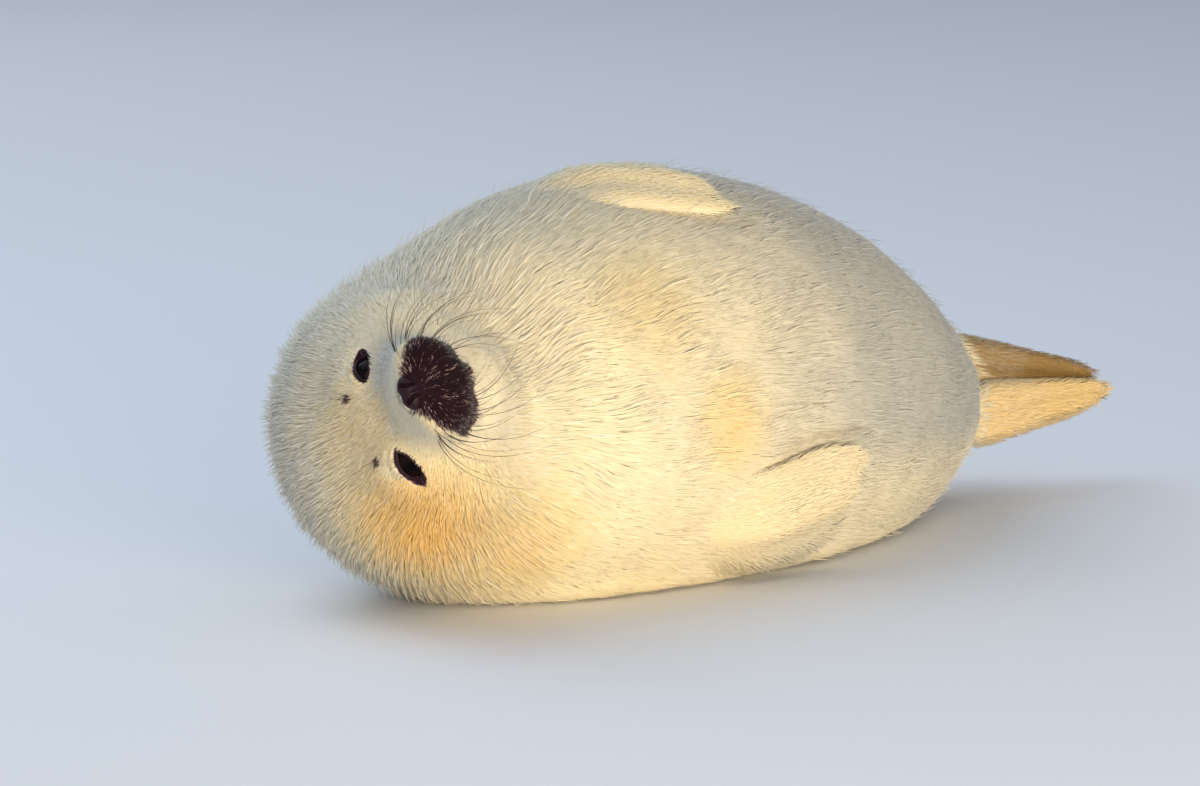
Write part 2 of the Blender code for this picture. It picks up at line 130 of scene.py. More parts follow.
def through(points: Curve, at: Array) -> Array:
    """Values on a smooth curve through (place, value) points that never overshoots them.

    Args:
        points: places in rising order, each with its value.
        at: the places asked for.

    Returns:
        The values there.
    """
    places, values = np.array(points, float).T
    spans = np.diff(places)
    slopes = np.diff(values) / spans
    before, after = slopes[:-1], slopes[1:]
    same = before * after > 0
    mean = np.where(same, 2 * before * after / np.where(same, before + after, 1), 0)
    tangents = np.concatenate((slopes[:1], mean, slopes[-1:]))
    at = np.clip(at, places[0], places[-1])
    k = np.clip(np.searchsorted(places, at) - 1, 0, len(spans) - 1)
    u = (at - places[k]) / spans[k]
    return (
        (2 * u**3 - 3 * u**2 + 1) * values[k]
        + (u**3 - 2 * u**2 + u) * spans[k] * tangents[k]
        + (3 * u**2 - 2 * u**3) * values[k + 1]
        + (u**3 - u**2) * spans[k] * tangents[k + 1]
    )


def curve(*numbers: float) -> Curve:
    """A curve through points whose places and values are given in turn."""
    return tuple(zip(numbers[::2], numbers[1::2], strict=True))


def sections(*values: float) -> Curve:
    """A curve along the body with a value for each of its sections."""
    return tuple(zip(SECTIONS, values, strict=True))


@dataclass(frozen=True)
class Drift:
    """A smooth, random-looking value between about -1 and 1 that changes over space."""

    size: float
    seed: int
    waves: int = 9
    pitches: Range = (0.6, 1.5)
    swing: float = 0.6

    def at(self, points: Array) -> Array:
        """The value at each point."""
        rng = np.random.default_rng(self.seed)
        ways = unit(rng.normal(size=(self.waves, 3)))
        pitches = math.tau / self.size * rng.uniform(*self.pitches, self.waves)
        phases = rng.uniform(0, math.tau, self.waves)
        waves = np.sin(points @ (ways * pitches[:, None]).T + phases)
        return waves.sum(-1) * math.sqrt(2 / self.waves) * self.swing


# ---------------------------------------------------------------- the animal's form
@dataclass(frozen=True)
class Spine:
    """The curve through the body, from the nose tip to the tail root."""

    belly_up: float = math.radians(33)
    neck_bow: float = math.radians(40)
    head_turn: float = math.radians(5)
    bow_from: float = 0.09
    bow_to: float = 0.25
    step: float = 0.001
    halvings: int = 16
    heights: Curve = curve(
        *(0.25, 0.122, 0.34, 0.126, 0.42, 0.125, 0.50, 0.119),
        *(0.60, 0.106, 0.70, 0.090, 0.76, 0.082, SPINE_END, 0.078),
    )

    def facing(self, behind: Array) -> tuple[Array, Array, Array]:
        """The directions ahead, to the animal's left, and up along its back.

        Args:
            behind: distances behind the nose tip.

        Returns:
            Three arrays of unit vectors.
        """
        straight_left = np.array((0, math.sin(self.belly_up), math.cos(self.belly_up)))
        belly = np.array((0, -math.cos(self.belly_up), math.sin(self.belly_up)))
        share = 1 - ease(self.bow_from, self.bow_to, np.asarray(behind, float))[..., None]
        bow, turn = self.neck_bow * share, self.head_turn * share
        bowed = np.array((-1.0, 0, 0)) * np.cos(bow) + belly * np.sin(bow)
        ahead = bowed * np.cos(turn) - straight_left * np.sin(turn)
        left = straight_left * np.cos(turn) + bowed * np.sin(turn)
        return ahead, left, np.cross(ahead, left)

    @cached_property
    def bowed(self) -> Array:
        """Points of the bent stretch, by steps behind the nose tip."""
        count = round(self.bow_to / self.step)
        ahead = self.facing((np.arange(count) + 0.5) * self.step)[0] * self.step
        end = np.array((0, 0, float(through(self.heights, np.array(self.bow_to)))))
        ahead_of_end = np.cumsum(ahead[::-1], axis=0)[::-1]
        return np.concatenate((end + ahead_of_end, end[None]))

    def points(self, behind: Array) -> Array:
        """The spine's points at those places."""
        behind = np.asarray(behind, float)
        steps = np.arange(len(self.bowed)) * self.step
        bent = np.stack([np.interp(behind, steps, self.bowed[:, k]) for k in range(3)], -1)
        height = through(self.heights, behind)
        straight = np.stack((behind - self.bow_to, np.zeros_like(behind), height), -1)
        return np.where(behind[..., None] < self.bow_to, bent, straight)

    def place(self, behind: Array, left: Array, up: Array) -> Array:
        """Points given by their place on the spine and their distances from it."""
        _, to_left, to_back = self.facing(behind)
        left, up = np.asarray(left, float), np.asarray(up, float)
        return self.points(behind) + to_left * left[..., None] + to_back * up[..., None]

    def locate(self, points: Array) -> tuple[Array, Array, Array]:
        """The places of points, which is the reverse of place().

        Args:
            points: points in or near the body.

        Returns:
            Their distances behind the nose tip, to the left of the spine, and up from it.
        """
        low = np.zeros(points.shape[:-1])
        high = np.full(points.shape[:-1], self.bow_to)
        for _ in range(self.halvings):
            middle = (low + high) / 2
            is_ahead = dot(points - self.points(middle), self.facing(middle)[0])[..., 0] > 0
            high = np.where(is_ahead, middle, high)
            low = np.where(is_ahead, low, middle)
        behind = np.where(points[..., 0] >= 0, points[..., 0] + self.bow_to, (low + high) / 2)
        _, left, up = self.facing(behind)
        away = points - self.points(behind)
        return behind, dot(away, left)[..., 0], dot(away, up)[..., 0]


@dataclass(frozen=True)
class Swell:
    """A form raised from the plain sections, or sunk into them, in the head's own frame."""

    behind: float
    left: float
    up: float
    radius: float
    height: float

    def pair(self) -> tuple["Swell", "Swell"]:
        """This one and its mirror image on the head's other side."""
        return self, replace(self, left=-self.left)


@dataclass(frozen=True)
class Body:
    """The coat's outer form."""

    spine: Spine
    half_width: Curve = sections(
        *(0.003, 0.018, 0.029, 0.035, 0.042, 0.057, 0.077, 0.092, 0.106, 0.120, 0.141),
        *(0.160, 0.168, 0.167, 0.158, 0.141, 0.115, 0.086, 0.062, 0.046, 0.034),
    )
    back: Curve = sections(
        *(0.003, 0.010, 0.017, 0.023, 0.031, 0.044, 0.064, 0.083, 0.100, 0.112, 0.126),
        *(0.142, 0.150, 0.150, 0.144, 0.130, 0.108, 0.081, 0.056, 0.038, 0.028),
    )
    belly: Curve = sections(
        *(0.003, 0.014, 0.024, 0.030, 0.038, 0.050, 0.064, 0.089, 0.114, 0.131, 0.143),
        *(0.150, 0.155, 0.162, 0.158, 0.145, 0.119, 0.089, 0.060, 0.040, 0.030),
    )
    drop: Curve = sections(
        *(0.025, 0.025, 0.027, 0.028, 0.026, 0.022, 0.014, 0.007, 0.002), *[0.0] * 12
    )
    swells: tuple[Swell, ...] = (
        *Swell(0.014, 0.019, -0.036, 0.025, 0.0085).pair(),
        Swell(0.024, 0.0, -0.064, 0.020, 0.004),
        Swell(0.046, 0.0, 0.006, 0.024, -0.003),
        *Swell(0.066, 0.027, 0.028, 0.022, 0.004).pair(),
        *Swell(0.080, 0.066, -0.034, 0.045, 0.006).pair(),
        Swell(0.074, 0.0, -0.080, 0.038, 0.006),
        Swell(0.118, 0.0, -0.090, 0.026, -0.005),
    )
    muzzle_core: float = 0.034
    fold_behind: float = 0.0950
    fold_width: float = 0.0065
    fold_depth: float = 0.0030
    fold_round: Range = (0.70, 0.98)
    floor_ease: float = 0.012
    floor_spread: float = 0.05
    spread_height: float = 0.045
    slope_step: float = 0.004
    slope_turn: float = math.radians(3)

    def settle(self, points: Array) -> Array:
        """Rests points on the floor: what would lie below is flattened, and pressed out a little."""
        x, y, z = np.moveaxis(points, -1, 0)
        spread = 1 + self.floor_spread * np.exp(-((np.maximum(z, 0) / self.spread_height) ** 2))
        low = np.clip(z + self.floor_ease, 0, None) ** 2 / (4 * self.floor_ease)
        return np.stack((x, y * spread, np.where(z < self.floor_ease, low, z)), -1)

    def tall(self, rise: Array, behind: Array) -> Array:
        """The half height of sections, towards the back or towards the belly."""
        return np.where(rise > 0, through(self.back, behind), through(self.belly, behind))

    def outer(self, behind: Array, angle: Array) -> Array:
        """Points of the coat's outer surface, before it settles on the floor.

        Args:
            behind: distances behind the nose tip.
            angle: angles round the body.

        Returns:
            The points.
        """
        behind, angle = np.broadcast_arrays(np.asarray(behind, float), np.asarray(angle, float))
        across, rise = np.cos(angle), np.sin(angle)
        up = self.tall(rise, behind) * rise - through(self.drop, behind)
        points = self.spine.place(behind, through(self.half_width, behind) * across, up)
        core = np.maximum(behind, self.muzzle_core)
        centre = self.spine.place(core, np.zeros_like(core), -through(self.drop, core))
        outward = unit(points - centre)
        raised = points
        for swell in self.swells:
            middle = self.spine.place(np.array(swell.behind), swell.left, swell.up)
            away = norm(raised - middle)[..., None] / swell.radius
            raised = raised + outward * swell.height * np.clip(1 - away**2, 0, None) ** 2
        folded = bell(behind, self.fold_behind, self.fold_width) * ease(*self.fold_round, -rise)
        raised = raised - outward * (self.fold_depth * folded)[..., None]
        return np.where(behind[..., None] < self.spine.bow_to, raised, points)

    def outward(self, behind: Array, angle: Array) -> Array:
        """The outer surface's outward normals."""
        ahead, turn = np.maximum(behind - self.slope_step, 0), self.slope_turn
        along = self.outer(behind + self.slope_step, angle) - self.outer(ahead, angle)
        across = self.outer(behind, angle + turn) - self.outer(behind, angle - turn)
        return unit(np.cross(along, across))

    def within(self, points: Array) -> Array:
        """How far out points lie on the way from the spine, at 0, to the outer surface, at 1."""
        behind, left, up = self.spine.locate(points)
        rise = up + through(self.drop, behind)
        return np.hypot(left / through(self.half_width, behind), rise / self.tall(rise, behind))


# ---------------------------------------------------------------- meshes
def new_object(name: str, data: bpy.types.ID) -> bpy.types.Object:
    """An object of that mesh, light or camera, put in the scene."""
    obj = bpy.data.objects.new(name, data)
    bpy.context.scene.collection.objects.link(obj)
    return obj


def wrapped(points: Array, loop: bool = False) -> bmesh.types.BMesh:
    """A closed mesh over rings of points.

    Args:
        points: rings of points, as an array of rings x points round x 3.
        loop: whether the last ring joins the first, as in a hoop.

    Returns:
        The mesh. Ends that aren't joined are filled.
    """
    grid = np.concatenate((points, points[:, :1]), axis=1)
    if loop:
        grid = np.concatenate((grid, grid[:1]), axis=0)
    rows, columns = grid.shape[0] - 1, grid.shape[1] - 1
    bm = bmesh.new()
    bmesh.ops.create_grid(bm, x_segments=columns, y_segments=rows, size=1)
    for vert in bm.verts:
        column = round((vert.co.x + 1) / 2 * columns)
        row = round((vert.co.y + 1) / 2 * rows)
        vert.co = grid[row, column]
    bmesh.ops.remove_doubles(bm, verts=bm.verts, dist=1e-7)
    open_edges = [edge for edge in bm.edges if edge.is_boundary]
    if open_edges:
        bmesh.ops.holes_fill(bm, edges=open_edges)
    return bm


def join(parts: Sequence[bmesh.types.BMesh]) -> bmesh.types.BMesh:
    """One mesh of them all. The parts are freed."""
    whole = bmesh.new()
    for part in parts:
        mesh = bpy.data.meshes.new("part")
        part.to_mesh(mesh)
        part.free()
        whole.from_mesh(mesh)
        bpy.data.meshes.remove(mesh)
    return whole


def solid(name: str, bm: bmesh.types.BMesh) -> bpy.types.Object:
    """An object of that mesh in its final place, with its faces outwards and smooth.

    Args:
        name: the object's name.
        bm: the mesh, which is freed.

    Returns:
        The object, at the origin.
    """
    bmesh.ops.recalc_face_normals(bm, faces=bm.faces)
    if bm.calc_volume(signed=True) < 0:
        bmesh.ops.reverse_faces(bm, faces=bm.faces)
    bmesh.ops.translate(bm, vec=Vector(-MIDDLE), verts=bm.verts)
    mesh = bpy.data.meshes.new(name)
    bm.to_mesh(mesh)
    bm.free()
    mesh.shade_smooth()
    return new_object(name, mesh)


def united(obj: bpy.types.Object, others: Sequence[bpy.types.Object]) -> None:
    """Joins the others to the object, as one skin, and takes them out of the scene."""
    for other in others:
        modifier = obj.modifiers.new("Join", "BOOLEAN")
        modifier.operation = "UNION"
        modifier.solver = "MANIFOLD"
        modifier.object = other
    graph = bpy.context.evaluated_depsgraph_get()
    mesh = bpy.data.meshes.new_from_object(obj.evaluated_get(graph))
    obj.modifiers.clear()
    plain = obj.data
    obj.data = mesh
    mesh.name = plain.name
    bpy.data.meshes.remove(plain)
    for other in others:
        bpy.data.meshes.remove(other.data)
    mesh.shade_smooth()


def set_values(mesh: bpy.types.Mesh, values: dict[str, Array]) -> None:
    """Keeps a number for each vertex under each name."""
    for name, numbers in values.items():
        layer = mesh.attributes.new(name, "FLOAT", "POINT")
        layer.data.foreach_set("value", np.ascontiguousarray(numbers, np.float32))


def vertices(mesh: bpy.types.Mesh) -> Array:
    """The mesh's vertices, with the shoulders at x = 0 again."""
    flat = np.empty(len(mesh.vertices) * 3, np.float32)
    mesh.vertices.foreach_get("co", flat)
    return flat.reshape(-1, 3).astype(float) + MIDDLE


# ---------------------------------------------------------------- shading
class Socket:
    """A node's output that Python's arithmetic works on."""

    def __init__(self, nodes: "Nodes", output: bpy.types.NodeSocket) -> None:
        """Wraps an output of one of the nodes."""
        self.nodes = nodes
        self.output = output

    def math(self, operation: str, other: "Socket | float") -> "Socket":
        """A Math node on this output and another value."""
        return self.nodes.add("ShaderNodeMath", {"operation": operation}, {0: self, 1: other})

    def __mul__(self, other: "Socket | float") -> "Socket":
        """Product."""
        return self.math("MULTIPLY", other)

    def __sub__(self, other: "Socket | float") -> "Socket":
        """Difference."""
        return self.math("SUBTRACT", other)

    def clamped(self) -> "Socket":
        """Kept between 0 and 1."""
        return self.nodes.add("ShaderNodeClamp", {}, {0: self})


class Nodes:
    """The nodes of one material, round its Principled shader."""

    def __init__(self, name: str) -> None:
        """Starts a material of that name."""
        self.material = bpy.data.materials.new(name)
        self.material.use_nodes = True
        self.tree = self.material.node_tree
        self.shader = self.tree.nodes["Principled BSDF"]

    def add(
        self,
        kind: str,
        settings: dict[str, object],
        inputs: dict[int | str, object],
        output: int | str = 0,
    ) -> Socket:
        """Adds a node.

        Args:
            kind: the node's type.
            settings: its own settings, which are set first.
            inputs: values or links, by socket.
            output: the output that is wanted.

        Returns:
            That output.
        """
        node = self.tree.nodes.new(kind)
        for setting, value in settings.items():
            setattr(node, setting, value)
        for key, value in inputs.items():
            self.feed(node.inputs[key], value)
        return Socket(self, node.outputs[output])

    def feed(self, target: bpy.types.NodeSocket, value: object) -> None:
        """Links a socket, or sets a value on it."""
        if isinstance(value, Socket):
            self.tree.links.new(value.output, target)
        else:
            target.default_value = value

    def attribute(self, name: str) -> Socket:
        """A number that the mesh keeps for each vertex."""
        return self.add("ShaderNodeAttribute", {"attribute_name": name}, {}, "Fac")

    def noise(self, scale: float) -> Socket:
        """A cloudy number between 0 and 1, by the place on the object."""
        place = self.add("ShaderNodeTexCoord", {}, {}, "Object")
        return self.add("ShaderNodeTexNoise", {}, {"Vector": place, "Scale": scale, "Detail": 3.0})

    def mix(self, one: object, other: object, share: Socket | float) -> Socket:
        """A colour between two."""
        return self.add("ShaderNodeMix", {"data_type": "RGBA"}, {0: share, 6: one, 7: other}, 2)

    def shade(self, **inputs: object) -> bpy.types.Material:
        """Feeds the shader, with underscores for the blanks in its sockets' names."""
        for name, value in inputs.items():
            self.feed(self.shader.inputs[name.replace("_", " ")], value)
        return self.material


def colour(red: float, green: float, blue: float) -> tuple[float, float, float, float]:
    """An opaque colour."""
    return (red, green, blue, 1.0)


class Finish:
    """What a piece is dressed in. Its material is made once."""

    slot: Slot

    def make(self) -> bpy.types.Material:
        """Makes the material."""
        raise NotImplementedError

    @cached_property
    def material(self) -> bpy.types.Material:
        """The material."""
        return self.make()

    def dress(self, obj: bpy.types.Object) -> None:
        """Puts the finish on a piece, which rides with the body."""
        obj.data.materials.clear()
        obj.data.materials.append(self.material)
        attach(obj, "root")
        self.slot.value


@dataclass(frozen=True)
class CoatFinish(Finish):
    """Natal coat: cream wool with honey, grey and dark parts, the same on skin and tufts. The honey and
    amber are partly stain and partly painted warm light, the grey is mostly painted shade, and the olive
    is chin freckles, partly painted shade and a painted shadow.
    """

    slot: Slot = Slot.COAT
    cream: tuple = colour(0.90, 0.81, 0.60)
    # honey and amber: partly the coat's stain, partly painted warm light
    honey: tuple = colour(0.93, 0.74, 0.38)
    amber: tuple = colour(0.93, 0.53, 0.12)
    # greyed: mostly painted shade and painted shadow, with a little random tone
    greyed: tuple = colour(0.49, 0.475, 0.415)
    # olive: chin freckles, painted shade on the upper hind flipper, and a painted shadow in a fore
    # flipper's crease
    olive: tuple = colour(0.27, 0.135, 0.004)
    mauve: tuple = colour(0.200, 0.118, 0.140)
    dark: tuple = colour(0.016, 0.004, 0.009)
    root: tuple = colour(0.90, 0.75, 0.51)
    root_share: float = 0.2
    bleached: tuple = colour(1.0, 0.97, 0.90)
    bleached_share: float = 0.45
    roughness: float = 0.8
    specular: float = 0.12
    sheen: float = 0.10
    sheen_roughness: float = 0.5

    def make(self) -> bpy.types.Material:
        """Mixes the colours by the marks that the mesh keeps."""
        nodes = Nodes(self.slot.value)
        warm = nodes.attribute("honey")
        base = nodes.mix(self.cream, self.honey, (warm * 2).clamped())
        base = nodes.mix(base, self.amber, (warm * 2 - 1).clamped())
        base = nodes.mix(base, self.greyed, nodes.attribute("grey"))
        base = nodes.mix(base, self.olive, nodes.attribute("olive"))
        low = nodes.mix(base, self.root, self.root_share)
        base = nodes.mix(low, base, nodes.attribute("reach"))
        pale = nodes.mix(base, self.bleached, self.bleached_share)
        base = nodes.mix(base, pale, nodes.attribute("tint"))
        dark = nodes.attribute("dark")
        base = nodes.mix(base, self.mauve, (dark * 2).clamped())
        base = nodes.mix(base, self.dark, (dark * 2 - 1).clamped())
        return nodes.shade(
            Base_Color=base,
            Roughness=self.roughness,
            Specular_IOR_Level=self.specular,
            Sheen_Weight=self.sheen,
            Sheen_Roughness=self.sheen_roughness,
        )


@dataclass(frozen=True)
class DarkSkinFinish(Finish):
    """Bare skin of the nose and the lids: nearly black, and moist."""

    slot: Slot = Slot.DARK_SKIN
    deep: tuple = colour(0.006, 0.001, 0.004)
    worn: tuple = colour(0.026, 0.009, 0.016)
    cloud_scale: float = 160.0
    grain_scale: float = 900.0
    grain_strength: float = 0.35
    grain_depth: float = 0.0004
    roughness: float = 0.50
    specular: float = 0.18

    def make(self) -> bpy.types.Material:
        """Dark skin with fine grain."""
        nodes = Nodes(self.slot.value)
        grain = {"Strength": self.grain_strength, "Distance": self.grain_depth}
        grain["Height"] = nodes.noise(self.grain_scale)
        return nodes.shade(
            Normal=nodes.add("ShaderNodeBump", {}, grain),
            Base_Color=nodes.mix(self.deep, self.worn, nodes.noise(self.cloud_scale)),
            Roughness=self.roughness,
            Specular_IOR_Level=self.specular,
        )


@dataclass(frozen=True)
class EyeFinish(Finish):
    """Wet, nearly black eyeball."""

    slot: Slot = Slot.EYE
    pupil: tuple = colour(0.002, 0.001, 0.0015)
    iris: tuple = colour(0.010, 0.005, 0.004)
    roughness: float = 0.06
    specular: float = 0.04
    wet: float = 0.03
    wet_roughness: float = 0.02

    def make(self) -> bpy.types.Material:
        """Dark brown iris round a black pupil, under a clear cornea."""
        nodes = Nodes(self.slot.value)
        return nodes.shade(
            Base_Color=nodes.mix(self.pupil, self.iris, nodes.attribute("iris")),
            Roughness=self.roughness,
            Specular_IOR_Level=self.specular,
            Coat_Weight=self.wet,
            Coat_Roughness=self.wet_roughness,
        )


@dataclass(frozen=True)
class HornFinish(Finish):
    """Horn of claws and whiskers."""

    slot: Slot
    pale: tuple
    dark: tuple
    roughness: float

    def make(self) -> bpy.types.Material:
        """A colour that changes from root to tip."""
        nodes = Nodes(self.slot.value)
        tone = nodes.mix(self.dark, self.pale, nodes.attribute("reach"))
        return nodes.shade(Base_Color=tone, Roughness=self.roughness)


# ---------------------------------------------------------------- surfaces that carry hair
@dataclass
class Surface:
    """A stretch of skin as a grid of points, closed round its second direction.

    Attributes:
        points: the skin, as rings x points round x 3.
        lie: the way that hair lies, at each point.
        rows: what the first direction measures.
        columns: the angle round.
        corner: where this surface's unwrap begins in the texture.
        spread: the size of the unwrap.
    """

    points: Array
    lie: Array
    rows: Array
    columns: Array
    corner: Pair
    spread: Pair

    @cached_property
    def normals(self) -> Array:
        """Outward normals at the points."""
        along = np.gradient(self.points, axis=0)
        round_it = np.roll(self.points, -1, axis=1) - np.roll(self.points, 1, axis=1)
        normals = unit(np.cross(along, round_it))
        out = self.points - self.points.mean(1, keepdims=True)
        return normals * np.sign((out * normals).sum())

    def roots(self, count: int, crowding: Array, rng: np.random.Generator) -> "Roots":
        """Places for tufts, spread evenly by area and by the crowding wanted.

        Args:
            count: how many.
            crowding: how many more tufts an area gets, at each point of the grid.
            rng: the source of chance.

        Returns:
            The roots.
        """
        next_round = np.roll(self.points, -1, axis=1)
        one, other = next_round[1:] - self.points[:-1], next_round[:-1] - self.points[1:]
        area = np.linalg.norm(np.cross(one, other), axis=-1) / 2
        weight = (area * crowding[:-1]).ravel()
        total = np.cumsum(weight) / weight.sum()
        cells = np.searchsorted(total, (np.arange(count) + rng.random(count)) / count)
        cells = np.minimum(cells, len(weight) - 1)
        row, column = np.divmod(cells, self.points.shape[1])
        down, along = rng.random(count), rng.random(count)

        def blended(grid: Array) -> Array:
            """The grid's values at the roots."""
            ahead = (column + 1) % self.points.shape[1]
            shares = ((1 - down) * (1 - along), down * (1 - along), (1 - down) * along, down * along)
            corners = (grid[row, column], grid[row + 1, column], grid[row, ahead], grid[row + 1, ahead])
            return sum(share[:, None] * corner for share, corner in zip(shares, corners))

        turn = math.tau / self.points.shape[1]
        behind = self.rows[row] * (1 - down) + self.rows[row + 1] * down
        angle = self.columns[column] + along * turn
        unwrap = np.stack(((row + down) / len(self.rows), (column + along) / len(self.columns)), -1)
        return Roots(
            points=blended(self.points),
            normals=unit(blended(self.normals)),
            lie=unit(blended(self.lie)),
            behind=behind,
            angle=angle,
            unwrap=np.array(self.corner) + unwrap * np.array(self.spread),
        )


@dataclass
class Roots:
    """Where tufts grow, with one entry for each tuft in every array."""

    points: Array
    normals: Array
    lie: Array
    behind: Array
    angle: Array
    unwrap: Array

    def __len__(self) -> int:
        """How many."""
        return len(self.points)

    def only(self, chosen: Array) -> "Roots":
        """Those that are chosen, by a mask or by their numbers."""
        return Roots(*(getattr(self, name)[chosen] for name in self.__dataclass_fields__))


# ---------------------------------------------------------------- eyes
@dataclass(frozen=True)
class Eye:
    """An eyeball, the slit between its lids and their dark rims."""

    spine: Spine
    side: Side
    half_length: float
    radius: float = 0.0185
    behind: float = 0.0570
    out_from_middle: float = 0.0388
    up: float = 0.0036
    outward: float = math.radians(39)
    raised: float = math.radians(12)
    slant: float = math.radians(8)
    fullness: float = 2.5
    above: float = 0.0064
    below: float = 0.0056
    lid: float = 0.0014
    lid_front: Range = (-0.004, 0.006)
    lid_reach: float = 0.045
    lid_blend: float = 0.0015
    lid_edge: Range = (-0.0002, 0.0006)
    crease_depth: float = 0.0009
    crease_at: float = -0.0052
    crease_width: float = 0.0016
    sunk: float = 0.0035
    near: float = 0.03
    ball_segments: tuple[int, int] = (48, 32)
    cornea_bulge: float = 0.0006
    cornea_width: float = 0.45
    iris_at: float = 0.42
    iris_width: float = 0.16
    rim: float = 0.0015
    rim_out: float = 0.75
    rim_flat: float = 0.8
    rim_taper: float = 0.35
    rim_points: int = 96
    rim_sides: int = 10

    @cached_property
    def frame(self) -> tuple[Array, Array]:
        """The ball's centre, and its axes: out, towards the outer corner, and up."""
        sign = self.side.value
        ahead, left, up = self.spine.facing(np.array(self.behind))
        outer = left * sign
        out = ahead * math.cos(self.outward) + outer * math.sin(self.outward)
        out = unit(out * math.cos(self.raised) + up * math.sin(self.raised))
        lid_line = unit(outer - out * dot(outer, out))
        lid_up = np.cross(out, lid_line) * sign
        slanted = lid_line * math.cos(self.slant) - lid_up * math.sin(self.slant)
        front = self.spine.place(np.array(self.behind), self.out_from_middle * sign, self.up)
        axes = np.stack((out, slanted, np.cross(out, slanted) * sign))
        return front - out * self.radius, axes

    def seen(self, points: Array) -> Array:
        """Points in the eye's own axes."""
        centre, axes = self.frame
        return (points - centre) @ axes.T

    def back(self, local: Array) -> Array:
        """Points from the eye's own axes."""
        centre, axes = self.frame
        return local @ axes + centre

    def is_near(self, points: Array) -> Array:
        """Which points lie close round the ball."""
        return norm(self.seen(points)) < self.near

    def from_front(self, points: Array) -> Array:
        """How far points lie from the front of the ball."""
        return norm(self.seen(points) - np.array((self.radius, 0, 0)))

    def opening(self, local: Array) -> Array:
        """How far inside the slit points lie, in metres. It is below 0 outside."""
        along = local[..., 1] / self.half_length
        reach = 1 - np.abs(along) ** self.fullness
        limit = np.where(local[..., 2] > 0, self.above, self.below) * reach
        inside = limit - np.abs(local[..., 2])
        beyond = self.half_length - np.abs(local[..., 1])
        return np.where(np.abs(along) < 1, inside, np.minimum(beyond, inside))

    def wrap(self, points: Array) -> Array:
        """Lays skin over the ball as lids, and opens it along the slit.

        Args:
            points: the skin.

        Returns:
            The skin with the lids in it.
        """
        local = self.seen(points)
        distance = norm(local)[..., None]
        front = ease(*self.lid_front, local[..., :1]) * (distance < self.lid_reach)
        gap = self.opening(local)[..., None]
        crease = self.crease_depth * bell(gap, self.crease_at, self.crease_width)
        wanted = self.radius + self.lid - crease
        soft = 0.5 * (distance + wanted + np.sqrt((distance - wanted) ** 2 + self.lid_blend**2))
        over = distance + (soft - distance) * front
        sunk = self.radius - self.sunk
        open_share = ease(*self.lid_edge, gap) * front * (local[..., :1] > 0)
        return self.back(local / distance * (over * (1 - open_share) + sunk * open_share))

    def make_ball(self) -> bmesh.types.BMesh:
        """The ball, with a slight bulge of clear cornea in front."""
        bm = bmesh.new()
        iris = bm.verts.layers.float.new("iris")
        across, down = self.ball_segments
        bmesh.ops.create_uvsphere(bm, u_segments=across, v_segments=down, radius=1)
        centre, axes = self.frame
        for vert in bm.verts:
            way = np.array((vert.co.z, vert.co.x, vert.co.y))
            off_axis = math.acos(max(-1.0, min(1.0, way[0])))
            bulge = self.cornea_bulge * float(bell(off_axis, 0, self.cornea_width))
            vert[iris] = float(bell(off_axis, self.iris_at, self.iris_width))
            vert.co = centre + (way * (self.radius + bulge)) @ axes
        return bm

    def make_rim(self) -> bmesh.types.BMesh:
        """The dark edge of both lids, as one hoop round the slit."""
        turn = np.linspace(0, math.tau, self.rim_points, endpoint=False)
        y = self.half_length * np.cos(turn)
        height = np.where(np.sin(turn) > 0, self.above, -self.below)
        z = height * (1 - np.abs(np.cos(turn)) ** self.fullness)
        x = np.sqrt((self.radius + self.rim * self.rim_out) ** 2 - y**2 - z**2)
        edge = np.stack((x, y, z), -1)
        along = unit(np.roll(edge, -1, axis=0) - np.roll(edge, 1, axis=0))
        out = unit(edge)
        across = unit(np.cross(along, out))
        around = np.linspace(0, math.tau, self.rim_sides, endpoint=False)[None, :, None]
        thick = self.rim * (1 - self.rim_taper * np.abs(np.cos(turn)) ** 8)
        ring = np.cos(around) * across[:, None] + np.sin(around) * out[:, None] * self.rim_flat
        return wrapped(self.back(edge[:, None] + ring * thick[:, None, None]), loop=True)


